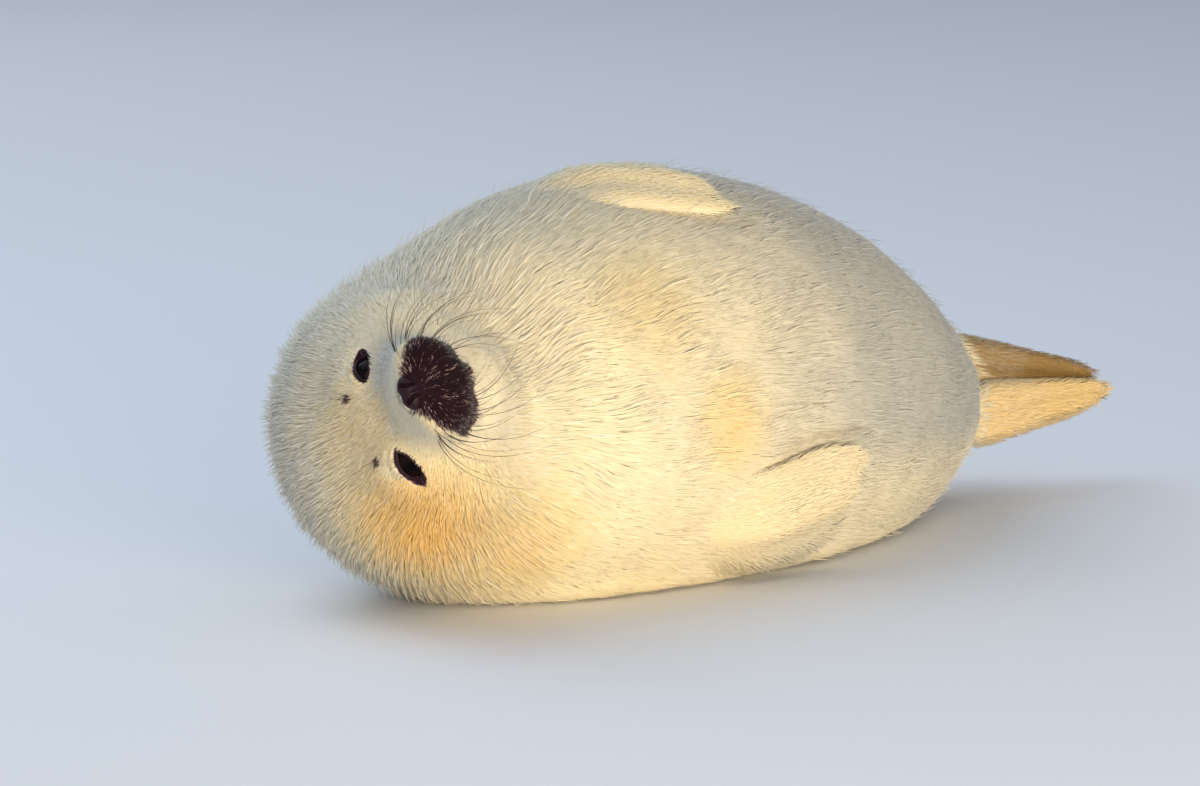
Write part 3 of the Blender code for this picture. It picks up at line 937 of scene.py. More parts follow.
# ---------------------------------------------------------------- nose
@dataclass(frozen=True)
class NosePad:
    """The bare nose: broad and notched above, narrowing to the lip, with two comma-shaped slits.

    Places on it are shares of its half height, up from its middle.
    """

    spine: Spine
    behind: float = 0.0035
    up: float = -0.0188
    half_width: float = 0.0125
    half_height: float = 0.0084
    half_depth: float = 0.0068
    covered: float = 0.98
    subdivisions: int = 6
    narrowed_below: float = 0.38
    narrowed_above: float = 0.12
    notch_depth: float = 0.16
    notch_width: float = 0.3
    front: Range = (0.0, 0.5)
    slit_side: float = 0.0042
    slit_curl: float = 0.0030
    slit_bend: float = 1.5
    slit_foot: float = -0.25
    slit_ends: tuple[Range, Range] = ((-0.75, -0.45), (0.45, 0.70))
    slit_deep: float = 0.0040
    slit_wide: float = 0.0011
    slit_widening: Pair = (1.1, 0.5)
    groove_deep: float = 0.0016
    groove_width: float = 0.0009
    groove_top: Range = (-0.35, 0.1)

    def covers(self, left: Array, up: Array) -> Array:
        """Whether places in the head's frame lie under the pad."""
        return np.hypot(left / self.half_width, (up - self.up) / self.half_height) < self.covered

    def make(self) -> bmesh.types.BMesh:
        """The pad as one closed mesh."""
        bm = bmesh.new()
        bmesh.ops.create_icosphere(bm, subdivisions=self.subdivisions, radius=1)
        ahead, left, up = self.spine.facing(np.array(0.0))
        middle = self.spine.place(np.array(self.behind), 0.0, self.up)
        x, y, z = np.array([vert.co for vert in bm.verts]).T
        above, below = np.maximum(z, 0), np.maximum(-z, 0)
        narrow = 1 - self.narrowed_below * below - self.narrowed_above * above**4
        notch = self.notch_depth * bell(y, 0, self.notch_width) * above**2
        front = ease(*self.front, x)
        side, height = y * narrow * self.half_width, z - notch
        curl = self.slit_curl * np.clip(height - self.slit_foot, 0, None) ** self.slit_bend
        wide, wider = self.slit_widening
        off = (np.abs(side) - self.slit_side - curl) / (self.slit_wide * (wide + wider * height))
        foot, top = self.slit_ends
        length = ease(*foot, height) * (1 - ease(*top, height))
        groove = bell(side, 0, self.groove_width) * (1 - ease(*self.groove_top, height)) * front
        sunk = self.slit_deep * np.exp(-(off**4)) * length * front + self.groove_deep * groove
        deep = x * self.half_depth - sunk
        local = np.stack((deep, side, height * self.half_height), -1)
        for vert, point in zip(bm.verts, middle + local @ np.stack((ahead, left, up))):
            vert.co = point
        return bm


# ---------------------------------------------------------------- flippers and tail
@dataclass(frozen=True)
class Blade:
    """The form of a flipper, from root to tip."""

    length: float
    half_widths: Curve
    half_thicknesses: Curve
    short_edge: float
    claw_scale: float
    digits: int = 5
    ridge: float = 0.16
    roof: float = 0.20
    roof_aside: float = 0.1
    scallop: float = 0.022
    skin_depth: float = 0.0022
    thinnest: float = 0.0008

    def point(self, share: Array, angle: Array, depth: float = 0.0) -> tuple[Array, Array, Array]:
        """Points along the blade, across it towards its leading edge, and out of it.

        Args:
            share: how far along, from 0 to 1.
            angle: the angle round it.
            depth: how much smaller it is all round.

        Returns:
            Three arrays, in metres.
        """
        across = np.cos(angle)
        digit = np.cos(math.pi * (self.digits - 1) * (across + 1) / 2) * (1 - np.abs(across) ** 4)
        trailing = (1 - across) / 2
        reach = 1 - self.short_edge * trailing**1.4 * share + self.scallop * digit * share**6
        ridge = 1 + self.ridge * digit * np.sin(math.pi * share) ** 0.5 * np.minimum(1, 2 * share)
        roof = 1 + self.roof * (1 - np.abs(across + self.roof_aside)) ** 2 * np.minimum(1, 3 * share)
        thick = through(self.half_thicknesses, share) * ridge * roof - depth
        wide = through(self.half_widths, share) - depth
        along = (self.length - depth) * share * reach
        return along, wide * across, np.maximum(thick, self.thinnest) * np.sin(angle)


FORE_BLADE = Blade(
    length=0.168,
    half_widths=curve(0.0, 0.036, 0.3, 0.042, 0.65, 0.043, 0.9, 0.037, 1.0, 0.027),
    half_thicknesses=curve(0.0, 0.016, 0.3, 0.0125, 0.7, 0.0105, 0.92, 0.0085, 1.0, 0.004),
    short_edge=0.17,
    claw_scale=1.0,
)
HIND_BLADE = Blade(
    length=0.180,
    half_widths=curve(0.0, 0.034, 0.3, 0.030, 0.65, 0.024, 0.88, 0.018, 1.0, 0.012),
    half_thicknesses=curve(0.0, 0.023, 0.3, 0.0195, 0.65, 0.0115, 0.88, 0.0075, 1.0, 0.003),
    short_edge=0.06,
    claw_scale=0.6,
)


@dataclass(frozen=True)
class Flipper:
    """A flipper in its place on the body."""

    blade: Blade
    body: Body
    rings: int = 64
    around: int = 64
    crowded: float = 1.25
    fan: float = 0.15
    fanned: Range = (0.2, 1.0)
    claw_length: float = 0.0125
    claw_radius: float = 0.0024
    claw_sunk: float = 0.0060
    claw_at: float = 0.97
    claw_spread: float = 0.86
    claw_taper: float = 1.6
    claw_wide: float = 0.75
    claw_high: float = 1.05
    claw_droop: float = 0.20
    claw_rings: tuple[float, ...] = (0.0, 0.12, 0.25, 0.4, 0.55, 0.7, 0.82, 0.92, 0.98, 1.0)
    claw_sides: int = 12

    def lay(self, along: Array, across: Array, out: Array) -> Array:
        """Points of the blade in their place."""
        raise NotImplementedError

    def surface(self, corner: Pair, spread: Pair) -> Surface:
        """The flipper's skin."""
        share = 1 - (1 - np.linspace(0, 1, self.rings)) ** self.crowded
        angle = np.linspace(-math.pi, math.pi, self.around, endpoint=False)
        grid = np.meshgrid(share, angle, indexing="ij")
        points = self.lay(*self.blade.point(*grid, depth=self.blade.skin_depth))
        points[-1] = points[-1].mean(0)
        lie = unit(np.gradient(points, axis=0))
        lie[-1] = lie[-2]
        trailing = ease(*self.fanned, -np.cos(grid[1]))[..., None]
        middle = points.mean(1, keepdims=True)
        lie = unit(lie + self.fan * trailing * unit(points - middle))
        return Surface(points, lie, share, angle, corner, spread)

    def claws(self) -> list[Array]:
        """Each claw's rings of points."""
        scale = self.blade.claw_scale
        length = self.claw_length * scale
        share = np.array(self.claw_rings)[:, None]
        angle = np.linspace(0, math.tau, self.claw_sides, endpoint=False)
        radius = self.claw_radius * scale * np.sqrt(np.clip(1 - share**self.claw_taper, 0, 1))
        aside = self.claw_wide * radius * np.cos(angle)
        out = radius * np.sin(angle) * self.claw_high - self.claw_droop * length * share**2
        made = []
        for across in self.claw_spread * np.linspace(1, -1, self.blade.digits):
            along, side, _ = self.blade.point(np.array(self.claw_at), np.arccos(across))
            reach = along + length * share - self.claw_sunk * scale
            made.append(self.lay(reach, side + aside, out))
        return made


@dataclass(frozen=True, kw_only=True)
class ForeFlipper(Flipper):
    """A fore flipper, draped back along the flank."""

    root_behind: float
    root_angle: float
    tip_behind: float
    tip_angle: float
    lift: Curve
    # how much painted shade greys the trailing half
    greyed_edge: float = 0.0
    fan: float = 0.6
    probes: Range = (0.1, 0.9)
    probe_across: float = 0.04
    furthest: float = 1.15
    girth_turn: float = 0.05

    @cached_property
    def middle(self) -> Array:
        """The point in the middle of the flipper."""
        return self.lay(np.array(self.blade.length / 2), np.array(0.0), np.array(0.0))

    def shares(self, points: Array) -> tuple[Array, Array]:
        """How far along the flipper points lie, and how far across towards its leading edge.

        Args:
            points: any points near it.

        Returns:
            Two arrays, from 0 to 1 along it, and from -1 to 1 across it.
        """
        first, last = self.probes
        along = self.blade.length * np.array((first, last, 0.5, 0.5))
        across = np.array((0.0, 0.0, -self.probe_across, self.probe_across))
        root, tip, trailing, leading = self.lay(along, across, np.zeros(4))
        way = (tip - root) / (last - first)
        side = unit(leading - trailing)
        side = unit(side - way * dot(side, way) / dot(way, way))
        share = (dot(points - root, way) / dot(way, way))[..., 0] + first
        return share, dot(points - root, side)[..., 0] / through(self.blade.half_widths, share)

    def lay(self, along: Array, across: Array, out: Array) -> Array:
        """Lays points on the flank: along it, across towards the belly, and out from the body."""
        towards_belly = 1 if self.root_angle > BELLY else -1
        share = np.clip(along / self.blade.length, 0.0, self.furthest)
        behind = self.root_behind + (self.tip_behind - self.root_behind) * share
        angle = np.radians(self.root_angle + (self.tip_angle - self.root_angle) * share)
        outer, turn = self.body.outer, self.girth_turn
        girth = norm(outer(behind, angle + turn) - outer(behind, angle - turn)) / (2 * turn)
        step_back = (self.tip_behind - self.root_behind) / self.blade.length
        step_round = math.sqrt(max(0.0, 1 - step_back**2))
        angle = angle - towards_belly * across * step_back / girth
        behind = behind - across * step_round
        height = (through(self.lift, share) + out)[..., None]
        return self.body.settle(outer(behind, angle) + self.body.outward(behind, angle) * height)


@dataclass(frozen=True, kw_only=True)
class HindFlipper(Flipper):
    """A hind flipper, straight back from the heels, its sole turned to the other one."""

    root: Triple
    tip: Triple
    breadth: Triple

    def lay(self, along: Array, across: Array, out: Array) -> Array:
        """Lays points straight along the flipper."""
        root, tip, breadth = (np.array(value) for value in (self.root, self.tip, self.breadth))
        along, across, out = along[..., None], across[..., None], out[..., None]
        way = unit(tip - root)
        across_way = unit(breadth - way * dot(breadth, way))
        return root + way * along + across_way * across + np.cross(across_way, way) * out


@dataclass(frozen=True)
class Tail:
    """The short flat tail between the hind flippers."""

    spine: Spine
    behind: float = 0.800
    shift: Triple = (-0.010, 0.023, -0.012)
    heading: Triple = (1, -0.02, -0.08)
    length: float = 0.062
    half_width: float = 0.018
    half_thick: float = 0.010
    skin_depth: float = 0.003
    widths: Curve = curve(0.0, 1.0, 0.5, 0.85, 0.85, 0.5, 1.0, 0.12)
    rings: int = 24
    around: int = 40

    def surface(self, corner: Pair, spread: Pair) -> Surface:
        """The tail's skin."""
        share = np.linspace(0, 1, self.rings)
        angle = np.linspace(-math.pi, math.pi, self.around, endpoint=False)
        root = self.spine.points(np.array(self.behind)) + np.array(self.shift)
        way = unit(np.array(self.heading))
        across = self.spine.facing(np.array(self.behind))[1]
        out = np.cross(way, across)
        size = through(self.widths, share)[:, None, None]
        wide, thick = self.half_width - self.skin_depth, self.half_thick - self.skin_depth
        ring = across * wide * np.cos(angle)[:, None] + out * thick * np.sin(angle)[:, None]
        points = root + way * (self.length - self.skin_depth) * share[:, None, None] + ring * size
        points[-1] = points[-1].mean(0)
        lie = np.broadcast_to(way, points.shape).copy()
        return Surface(points, lie, share, angle, corner, spread)


# ---------------------------------------------------------------- markings
@dataclass(frozen=True)
class Patch:
    """A warmer or a greyer patch of the coat, round a place on the body. Its honey is partly stain and
    partly painted warm light; its grey is painted shade.
    """

    behind: float
    angle: float
    radius: float
    honey: float = 0.0
    grey: float = 0.0


@dataclass(frozen=True)
class Crease:
    """The valley beside a flipper's leading edge, by shares across the flipper and along it."""

    across: float
    width: float
    begins: Range
    ends: Range

    def at(self, along: Array, across: Array) -> Array:
        """How much of a valley there is, from 0 to 1."""
        deep = bell(across, self.across, self.width)
        return deep * ease(*self.begins, along) * (1 - ease(*self.ends, along))


@dataclass(frozen=True)
class Markings:
    """Where the coat is dark, honey-coloured or greyed, by place. Skin and tufts both read it. The honey
    is partly stain and partly painted warm light; the grey is painted shade on the back, the upper side,
    the top of the head, the muzzle's left wall and a fore flipper's trailing half, with a painted shadow
    on the rear; the olive is chin freckles, partly painted shade on the upper hind flipper, and a painted
    shadow in a fore flipper's crease.

    A range tells where a mark begins to change and where it has changed in full. Ranges that end
    in "round" are shares of the way round the body, from back to belly or from left to right.
    """

    body: Body
    eyes: tuple[Eye, ...]
    fore: tuple[ForeFlipper, ...]
    patches: tuple[Patch, ...] = (
        # partly stain, partly painted warm light: honey and amber on the right cheek, the neck's right
        # side, the chest and the belly
        Patch(0.085, 158, 0.085, honey=1.0),
        Patch(0.150, -166, 0.075, honey=0.66),
        Patch(0.275, -87, 0.060, honey=0.54),
        Patch(0.325, -122, 0.050, honey=0.72),
        Patch(0.280, -170, 0.100, honey=0.30),
        # honey between the eyes, and grey on the top of the head as painted shade
        Patch(0.062, 90, 0.050, honey=0.62, grey=0.42),
        # painted shade: the shaded left wall of the muzzle, beside the left eye
        Patch(0.038, 31, 0.034, grey=1.0),
    )
    muzzle_top: Curve = curve(
        *(0.000, -0.0115, 0.010, -0.0150, 0.018, -0.0222),
        *(0.025, -0.0256, 0.031, -0.0310, 0.034, -0.0375),
    )
    muzzle_foot: Curve = curve(
        *(0.000, -0.0600, 0.012, -0.0580, 0.022, -0.0535, 0.030, -0.0470, 0.034, -0.0400)
    )
    muzzle_end: Curve = curve(
        *(-0.0650, 0.0300, -0.0600, 0.0370, -0.0500, 0.0400, -0.0415, 0.0415),
        *(-0.0340, 0.0355, -0.0270, 0.0250, -0.0200, 0.0160),
    )
    muzzle_side: float = 0.034
    muzzle_slope: float = 4.0
    muzzle_edge: Range = (-0.0012, 0.0016)
    ragged: Drift = Drift(0.007, 5)
    ragged_side: float = 0.0009
    ragged_end: float = 0.0015
    ragged_brow: float = 0.0005
    spotted: Drift = Drift(0.0024, 7)
    spotted_edge: float = 0.0014
    lids: Range = (-0.0025, -0.0018)
    brow: Triple = (0.0612, 0.0236, 0.0227)
    brow_edge: Range = (0.0018, 0.0036)
    brow_dark: float = 0.9
    brow_end: float = 0.085
    chin_up: float = -0.0665
    chin_height: float = 0.0045
    chin_side: Range = (0.014, 0.022)
    chin_end: float = 0.06
    specks: Drift = Drift(0.0052, 6)
    speck_edge: Range = (0.45, 0.85)
    speck_olive: float = 0.35
    cloud: Drift = Drift(0.16, 8)
    honey_base: float = 0.06
    honey_cloud: float = 0.03
    # more honey towards the belly: partly stain, partly painted warm light
    honey_belly: float = 0.08
    honey_round: Range = (0.3, 1.0)
    grey_cloud: float = 0.08
    # painted shade on the back, which is turned away from the warm key
    back_grey: float = 0.42
    back_round: Range = (0.35, 0.95)
    back_behind: Range = (0.05, 0.10)
    # painted shade on the animal's left side, which is turned up
    upper_grey: float = 0.30
    upper_round: Range = (0.0, 0.35)
    upper_behind: Range = (0.06, 0.12)
    # painted shadow over the rear half of the body
    rear_behind: Range = (0.32, 0.49)
    rear_drift: Drift = Drift(0.05, 9)
    rear_ragged: float = 0.012
    rear_least: float = 0.30
    rear_round: Range = (0.05, 0.38)
    # the lower right side that the warm key lights, kept out of the painted rear shadow
    warm_right_round: Range = (0.80, 0.94)
    warm_belly_round: Range = (0.4, 0.7)
    limb_out: Range = (0.975, 1.0)
    limb_x: Range = (0.582, 0.590)
    fore_honey: float = 0.30
    # golden hind flippers: partly stain, partly painted warm light
    hind_honey: float = 0.72
    heels: Range = (0.74, 0.79)
    heel_honey: float = 0.30
    heel_ungreyed: float = 0.7
    upper_hind_way: Triple = (0.0, 0.58, 0.81)
    upper_hind_level: float = 0.0637
    upper_hind_fall: float = 0.0397
    upper_hind_x: Range = (0.5, 0.675)
    upper_hind_edge: Range = (-0.003, 0.006)
    # partly stain, partly painted shade on the upper hind flipper
    upper_hind_olive: float = 0.97
    fore_reach: float = 0.13
    # where the painted shade of a fore flipper's trailing half falls
    trailing_across: Range = (0.05, 0.75)
    trailing_along: Range = (0.0, 0.6)
    # painted shadow in the crease by a fore flipper's leading edge
    crease: Crease = Crease(1.06, 0.10, (0.25, 0.6), (0.92, 1.0))
    crease_olive: float = 0.40

    def dark(self, points: Array, behind: Array, left: Array, up: Array) -> Array:
        """How dark the coat is: on the muzzle, the lids' edges and the two spots of the brow."""
        ragged, spotted = self.ragged.at(points), self.spotted_edge * self.spotted.at(points)
        side = np.abs(left)
        beyond = self.muzzle_slope * np.maximum(side - self.muzzle_side, 0)
        top = through(self.muzzle_top, side) - beyond
        foot = through(self.muzzle_foot, side) + beyond
        inside = np.minimum(top - up, up - foot) + self.ragged_side * ragged + spotted
        end = through(self.muzzle_end, up) - behind + self.ragged_end * ragged + spotted
        dark = ease(*self.muzzle_edge, np.minimum(inside, end))
        for eye in self.eyes:
            lids = ease(*self.lids, eye.opening(eye.seen(points))) * eye.is_near(points)
            along = (behind - self.brow[0] + up - self.brow[2]) / math.sqrt(2)
            away = np.hypot(left - self.brow[1] * eye.side.value, along)
            spot = 1 - ease(*self.brow_edge, away + self.ragged_brow * ragged)
            spot = self.brow_dark * spot * (behind < self.brow_end)
            dark = np.maximum(dark, np.maximum(lids, spot))
        return dark

    def freckled(self, points: Array, behind: Array, left: Array, up: Array) -> Array:
        """How freckled the chin is."""
        side = 1 - ease(*self.chin_side, np.abs(left))
        chin = bell(up, self.chin_up, self.chin_height) * side * (behind < self.chin_end)
        return chin * ease(*self.speck_edge, self.specks.at(points))

    def on_upper_hind(self, points: Array) -> Array:
        """Which points lie above the cleft between the two hind flippers."""
        fall = self.upper_hind_fall * ease(*self.upper_hind_x, points[..., 0])
        above = points @ np.array(self.upper_hind_way) - self.upper_hind_level + fall
        return ease(*self.upper_hind_edge, above)

    def wool(self, points: Array, behind: Array, left: Array, up: Array) -> tuple[Array, Array]:
        """How honey-coloured and how grey the body's pale coat is: the honey partly stain and partly
        painted warm light, the grey painted shade and a painted shadow, with a little random cloud.

        Args:
            points: places on the skin.
            behind: their distances behind the nose tip.
            left: their distances to the left of the spine.
            up: their distances up from it.

        Returns:
            The two marks.
        """
        angle = np.arctan2(up, left)
        to_belly = 0.5 - 0.5 * np.sin(angle)
        to_right = 0.5 - 0.5 * np.cos(angle)
        cloud = self.cloud.at(points)
        # honey: partly stain, partly painted warm light towards the belly
        honey = self.honey_base + self.honey_belly * ease(*self.honey_round, to_belly)
        honey = honey + self.honey_cloud * cloud
        # painted shade on the back
        back = ease(*self.back_round, 1 - to_belly) * ease(*self.back_behind, behind)
        # the key-lit lower right side, where the painted rear shadow is left out
        warm = ease(*self.warm_right_round, to_right) * ease(*self.warm_belly_round, to_belly)
        # painted shadow on the rear, with a ragged front edge
        edge = behind + self.rear_ragged * self.rear_drift.at(points)
        round_it = self.rear_least + (1 - self.rear_least) * ease(*self.rear_round, to_belly)
        rear_shadow = ease(*self.rear_behind, edge) * (1 - warm) * round_it
        # painted shade on the upper side, behind the eyes
        upper_shade = (1 - ease(*self.upper_round, to_right)) * ease(*self.upper_behind, behind)
        # the grey: painted shade on the back and the upper side, and a painted shadow on the rear
        pale = (1 - self.back_grey * back) * (1 - rear_shadow) * (1 - self.upper_grey * upper_shade)
        grey = 1 - pale + self.grey_cloud * cloud
        for patch in self.patches:
            middle = self.body.outer(np.array(patch.behind), np.radians(patch.angle))
            near = norm(points - middle) / patch.radius
            share = np.clip(1 - near**2, 0, None) ** 1.5
            honey = honey + (np.maximum(patch.honey, honey) - honey) * share
            grey = grey + (patch.grey - grey) * share
        return honey, grey

    def values(self, points: Array) -> dict[str, Array]:
        """The marks at those points.

        Args:
            points: places on the skin.

        Returns:
            Numbers between 0 and 1, by the name of the mark.
        """
        place = self.body.spine.locate(points)
        out, x = self.body.within(points), points[..., 0]
        limb = np.maximum(ease(*self.limb_out, out), ease(*self.limb_x, x))
        heels = ease(*self.heels, place[0])
        honey, grey = self.wool(points, *place)
        limb_honey = np.where(heels > 0.5, self.hind_honey, self.fore_honey)
        honey = honey + (limb_honey - honey) * limb
        honey = np.clip(np.maximum(honey, heels * self.heel_honey), 0, 1)
        grey = np.clip(grey * (1 - self.heel_ungreyed * heels) * (1 - limb), 0, 1)
        # olive on the upper hind flipper: partly stain, partly painted shade
        upper_shade = self.upper_hind_olive * self.on_upper_hind(points) * heels * limb
        olive = np.maximum(upper_shade, self.speck_olive * self.freckled(points, *place))
        for flipper in self.fore:
            along, across = flipper.shares(points)
            close = norm(points - flipper.middle) < self.fore_reach
            # painted shade on a fore flipper's trailing half
            trailing = ease(*self.trailing_across, -across) * limb * ease(*self.trailing_along, along)
            grey = np.maximum(grey, flipper.greyed_edge * trailing * close)
            # painted shadow in the crease beside a fore flipper
            crease = self.crease.at(along, across) * close * (1 - limb)
            olive = np.maximum(olive, self.crease_olive * crease)
        return {"dark": self.dark(points, *place), "honey": honey, "grey": grey, "olive": olive}


# ---------------------------------------------------------------- skin
@dataclass(frozen=True)
class Skin:
    """The one skin under the coat, from nose to flippers."""

    body: Body
    eyes: tuple[Eye, ...]
    fore: tuple[ForeFlipper, ...]
    hind: tuple[HindFlipper, ...]
    tail: Tail
    markings: Markings
    around: int = 224
    stretches: tuple[tuple[float, int], ...] = (
        *((0.004, 4), (0.100, 96), (0.160, 30), (0.300, 40), (SPINE_END, 118)),
    )
    depths: Curve = curve(
        *(0.000, 0.0010, 0.010, 0.0020, 0.030, 0.0030, 0.055, 0.0045, 0.080, 0.0065, 0.120, 0.0085),
        *(0.200, 0.0100, 0.500, 0.0105, 0.700, 0.0095, 0.780, 0.0070, SPINE_END, 0.0050),
    )
    eye_depth: float = 0.0012
    eye_reach: Range = (0.014, 0.036)
    pressed: float = 0.62
    pressed_height: float = 0.014
    mouth_up: float = -0.0570
    mouth_half: float = 0.034
    mouth_bow: float = 0.006
    mouth_deep: float = 0.0040
    mouth_width: float = 0.0013
    mouth_corner: Range = (0.80, 1.10)
    mouth_behind: Range = (0.040, 0.055)
    lip_high: float = 0.0010
    lip_up: float = 0.004
    lip_width: float = 0.0025
    split_deep: float = 0.0022
    split_width: float = 0.0011
    split_foot: Range = (-0.0570, -0.050)
    split_top: Range = (-0.032, -0.028)
    split_behind: Range = (0.020, 0.030)
    cap_rings: int = 8
    cap_length: float = 0.012
    cap_lie: float = 0.35
    reach: float = 0.35
    tint: float = 0.2
    trunk_unwrap: tuple[Pair, Pair] = ((0.0, 0.0), (0.88, 0.88))
    rump_unwrap: tuple[Pair, Pair] = ((0.0, 0.89), (0.88, 0.10))
    limb_unwrap: Pair = (0.885, 0.11)
    limb_share: float = 0.9

    @cached_property
    def rows(self) -> Array:
        """Where the rings lie behind the nose tip."""
        rows = [np.array((0.0,))]
        for end, count in self.stretches:
            start = rows[-1][-1]
            rows.append(start + (end - start) * np.arange(1, count + 1) / count)
        return np.concatenate(rows)

    def depth(self, points: Array, behind: Array) -> Array:
        """How deep the skin lies under the coat's outer surface."""
        depth = through(self.depths, behind)
        for eye in self.eyes:
            close = 1 - ease(*self.eye_reach, eye.from_front(points))
            depth = depth + (self.eye_depth - depth) * close
        return depth * (1 - self.pressed * bell(points[..., 2], 0, self.pressed_height))

    @cached_property
    def trunk(self) -> Surface:
        """Head, neck and body as one surface."""
        angle = np.linspace(-math.pi, math.pi, self.around, endpoint=False)
        behind, turn = np.meshgrid(self.rows, angle, indexing="ij")
        outer = self.body.settle(self.body.outer(behind, turn))
        normals = Surface(outer, outer, self.rows, angle, *self.trunk_unwrap).normals
        points = outer - normals * self.depth(outer, behind)[..., None]
        points = self.mouth(points, normals)
        for eye in self.eyes:
            points = eye.wrap(points)
        lie = unit(np.gradient(points, axis=0))
        lie = unit(lie - normals * dot(lie, normals))
        return Surface(points, lie, self.rows, angle, *self.trunk_unwrap)

    def mouth(self, points: Array, normals: Array) -> Array:
        """Folds the skin in along the mouth and under the nose.

        Args:
            points: the skin.
            normals: the way out of it.

        Returns:
            The folded skin.
        """
        behind, left, up = self.body.spine.locate(points)
        corner = np.abs(left) / self.mouth_half
        line = self.mouth_up + self.mouth_bow * corner**2
        reach = (1 - ease(*self.mouth_corner, corner)) * (1 - ease(*self.mouth_behind, behind))
        groove = self.mouth_deep * bell(up, line, self.mouth_width) * reach
        lip = self.lip_high * bell(up, line + self.lip_up, self.lip_width) * reach
        split = ease(*self.split_foot, up) * (1 - ease(*self.split_top, up))
        split = split * bell(left, 0.0, self.split_width) * (1 - ease(*self.split_behind, behind))
        return points - normals * (groove - lip + self.split_deep * split)[..., None]

    @cached_property
    def limbs(self) -> tuple[Surface, ...]:
        """The flippers' and the tail's surfaces."""
        limbs = (*self.fore, *self.hind, self.tail)
        corner, across = self.limb_unwrap
        width = 1 / len(limbs)
        spread = (across, width * self.limb_share)
        return tuple(limb.surface((corner, row * width), spread) for row, limb in enumerate(limbs))

    @cached_property
    def closed_trunk(self) -> Array:
        """The body's rings, rounded off behind."""
        rings = self.trunk.points
        share = np.linspace(0, 1, self.cap_rings + 1)[1:, None, None] * math.pi / 2
        centre = rings[-1].mean(0)
        onwards = BACKWARDS * np.sin(share) * self.cap_length
        cap = centre + (rings[-1] - centre) * np.cos(share) + onwards
        front = rings[0].mean(0)[None, None] + np.zeros_like(rings[:1])
        return np.concatenate((front, rings, cap))

    @cached_property
    def rump(self) -> Surface:
        """The rounded end of the body, between the heels."""
        rings = self.closed_trunk[-self.cap_rings - 1 :]
        lie = unit(unit(np.diff(rings, axis=0)) + BACKWARDS * self.cap_lie)
        rows = SPINE_END + self.cap_length * np.linspace(0, 1, self.cap_rings)
        return Surface(rings[:-1], lie, rows, self.trunk.columns, *self.rump_unwrap)

    def build(self) -> bpy.types.Object:
        """Makes the skin as one mesh that stands for every node of flesh."""
        skin = solid("skin", wrapped(self.closed_trunk))
        united(skin, [solid("limb", wrapped(surface.points)) for surface in self.limbs])
        points = vertices(skin.data)
        shown = {"reach": self.reach, "tint": self.tint}
        marks = {name: np.full(len(points), value) for name, value in shown.items()}
        set_values(skin.data, self.markings.values(points) | marks)
        return skin


# ---------------------------------------------------------------- coat
@dataclass
class Tufts:
    """Sizes of tufts, with one entry for each in every array."""

    length: Array
    height: Array
    width: Array
    stray: Array


@dataclass(frozen=True)
class Spindle:
    """The mesh of a tuft: closed, with three sides, and pointed at the root and at the tip."""

    shares: Triple = (0.0, 0.45, 1.0)
    low: float = 0.35
    high: float = 0.75
    faces: tuple = ((0, 2, 1), (0, 3, 2), (0, 1, 3), (1, 2, 4), (2, 3, 4), (3, 1, 4))
    unwrap: tuple = ((0.5, 0), (0, 0.5), (1, 0.5), (0.5, 0.6), (0.5, 1))
    reach: tuple[float, ...] = (0.0, 0.6, 0.6, 0.7, 1.0)

    def corners(self, roots: Roots, width: Array, path: Sequence[Array]) -> Array:
        """Every tuft's corners, from the points at its root, its middle and its tip."""
        root, middle, tip = path
        side = unit(np.cross(roots.normals, tip - root))
        top = np.cross(unit(tip - root), side)
        half = (width / 2)[:, None]
        low = middle - top * half * self.low
        high = middle + top * half * self.high
        return np.stack((root, low - side * half, low + side * half, high, tip), 1)


@dataclass(frozen=True)
class Frost:
    """Pale hairs in the muzzle's dark fur: in rays from the lip's middle, more so at the rim, and in arcs
    beside the lip's split that are partly paler ridges and partly painted highlights on its wrinkles.
    """

    rays: int = 26
    ray_up: float = -0.0240
    ray_edge: Range = (0.45, 0.95)
    bend: Drift = Drift(0.012, 31)
    bend_share: float = 4.0
    clumps: Drift = Drift(0.009, 32)
    clump_edge: Range = (-0.35, 0.5)
    dots: Drift = Drift(0.0022, 33)
    dot_edge: Range = (0.1, 0.5)
    rim_up: float = -0.040
    rim_size: Pair = (0.033, 0.020)
    rim_edge: Range = (0.66, 1.05)
    # arcs beside the lip's split: partly paler ridges, partly painted highlights on its wrinkles
    arc_top: float = -0.026
    arc_reach: float = 0.026
    arc_start: float = 0.0016
    arc_bend: float = 0.8
    arc_width: float = 0.0005
    arcs: Triple = (0.06, 0.20, 0.38)
    least: float = 0.015
    by_ray: float = 0.42
    by_ray_within: float = 0.35
    by_dot: float = 0.65
    by_arc: float = 0.40
    end: float = 0.045

    def chance(self, points: Array, behind: Array, left: Array, up: Array) -> Array:
        """How likely a dark tuft is to be pale.

        Args:
            points: where the tufts grow.
            behind: their distances behind the nose tip.
            left: their distances to the left of the spine.
            up: their distances up from it.

        Returns:
            A chance for each tuft.
        """
        turn = self.rays * np.arctan2(up - self.ray_up, left) + self.bend_share * self.bend.at(points)
        ray = ease(*self.ray_edge, np.cos(turn))
        wide, high = self.rim_size
        rim = ease(*self.rim_edge, np.hypot(left / wide, (up - self.rim_up) / high))
        clump = ease(*self.clump_edge, self.clumps.at(points))
        dots = ease(*self.dot_edge, self.dots.at(points))
        # the arcs: partly paler ridges, partly painted highlights on the lip's wrinkles
        fall = np.clip(self.arc_top - up, 0, None)
        aside = [self.arc_start + apart * fall**self.arc_bend for apart in self.arcs]
        arcs = sum(bell(np.abs(left), middle, self.arc_width) for middle in aside)
        arcs = arcs * (fall > 0) * (fall < self.arc_reach)
        rays = ray * clump * (self.by_ray_within + (1 - self.by_ray_within) * rim)
        chance = self.least + self.by_ray * rays + self.by_dot * rim * dots + self.by_arc * arcs * clump
        return chance * (behind < self.end)


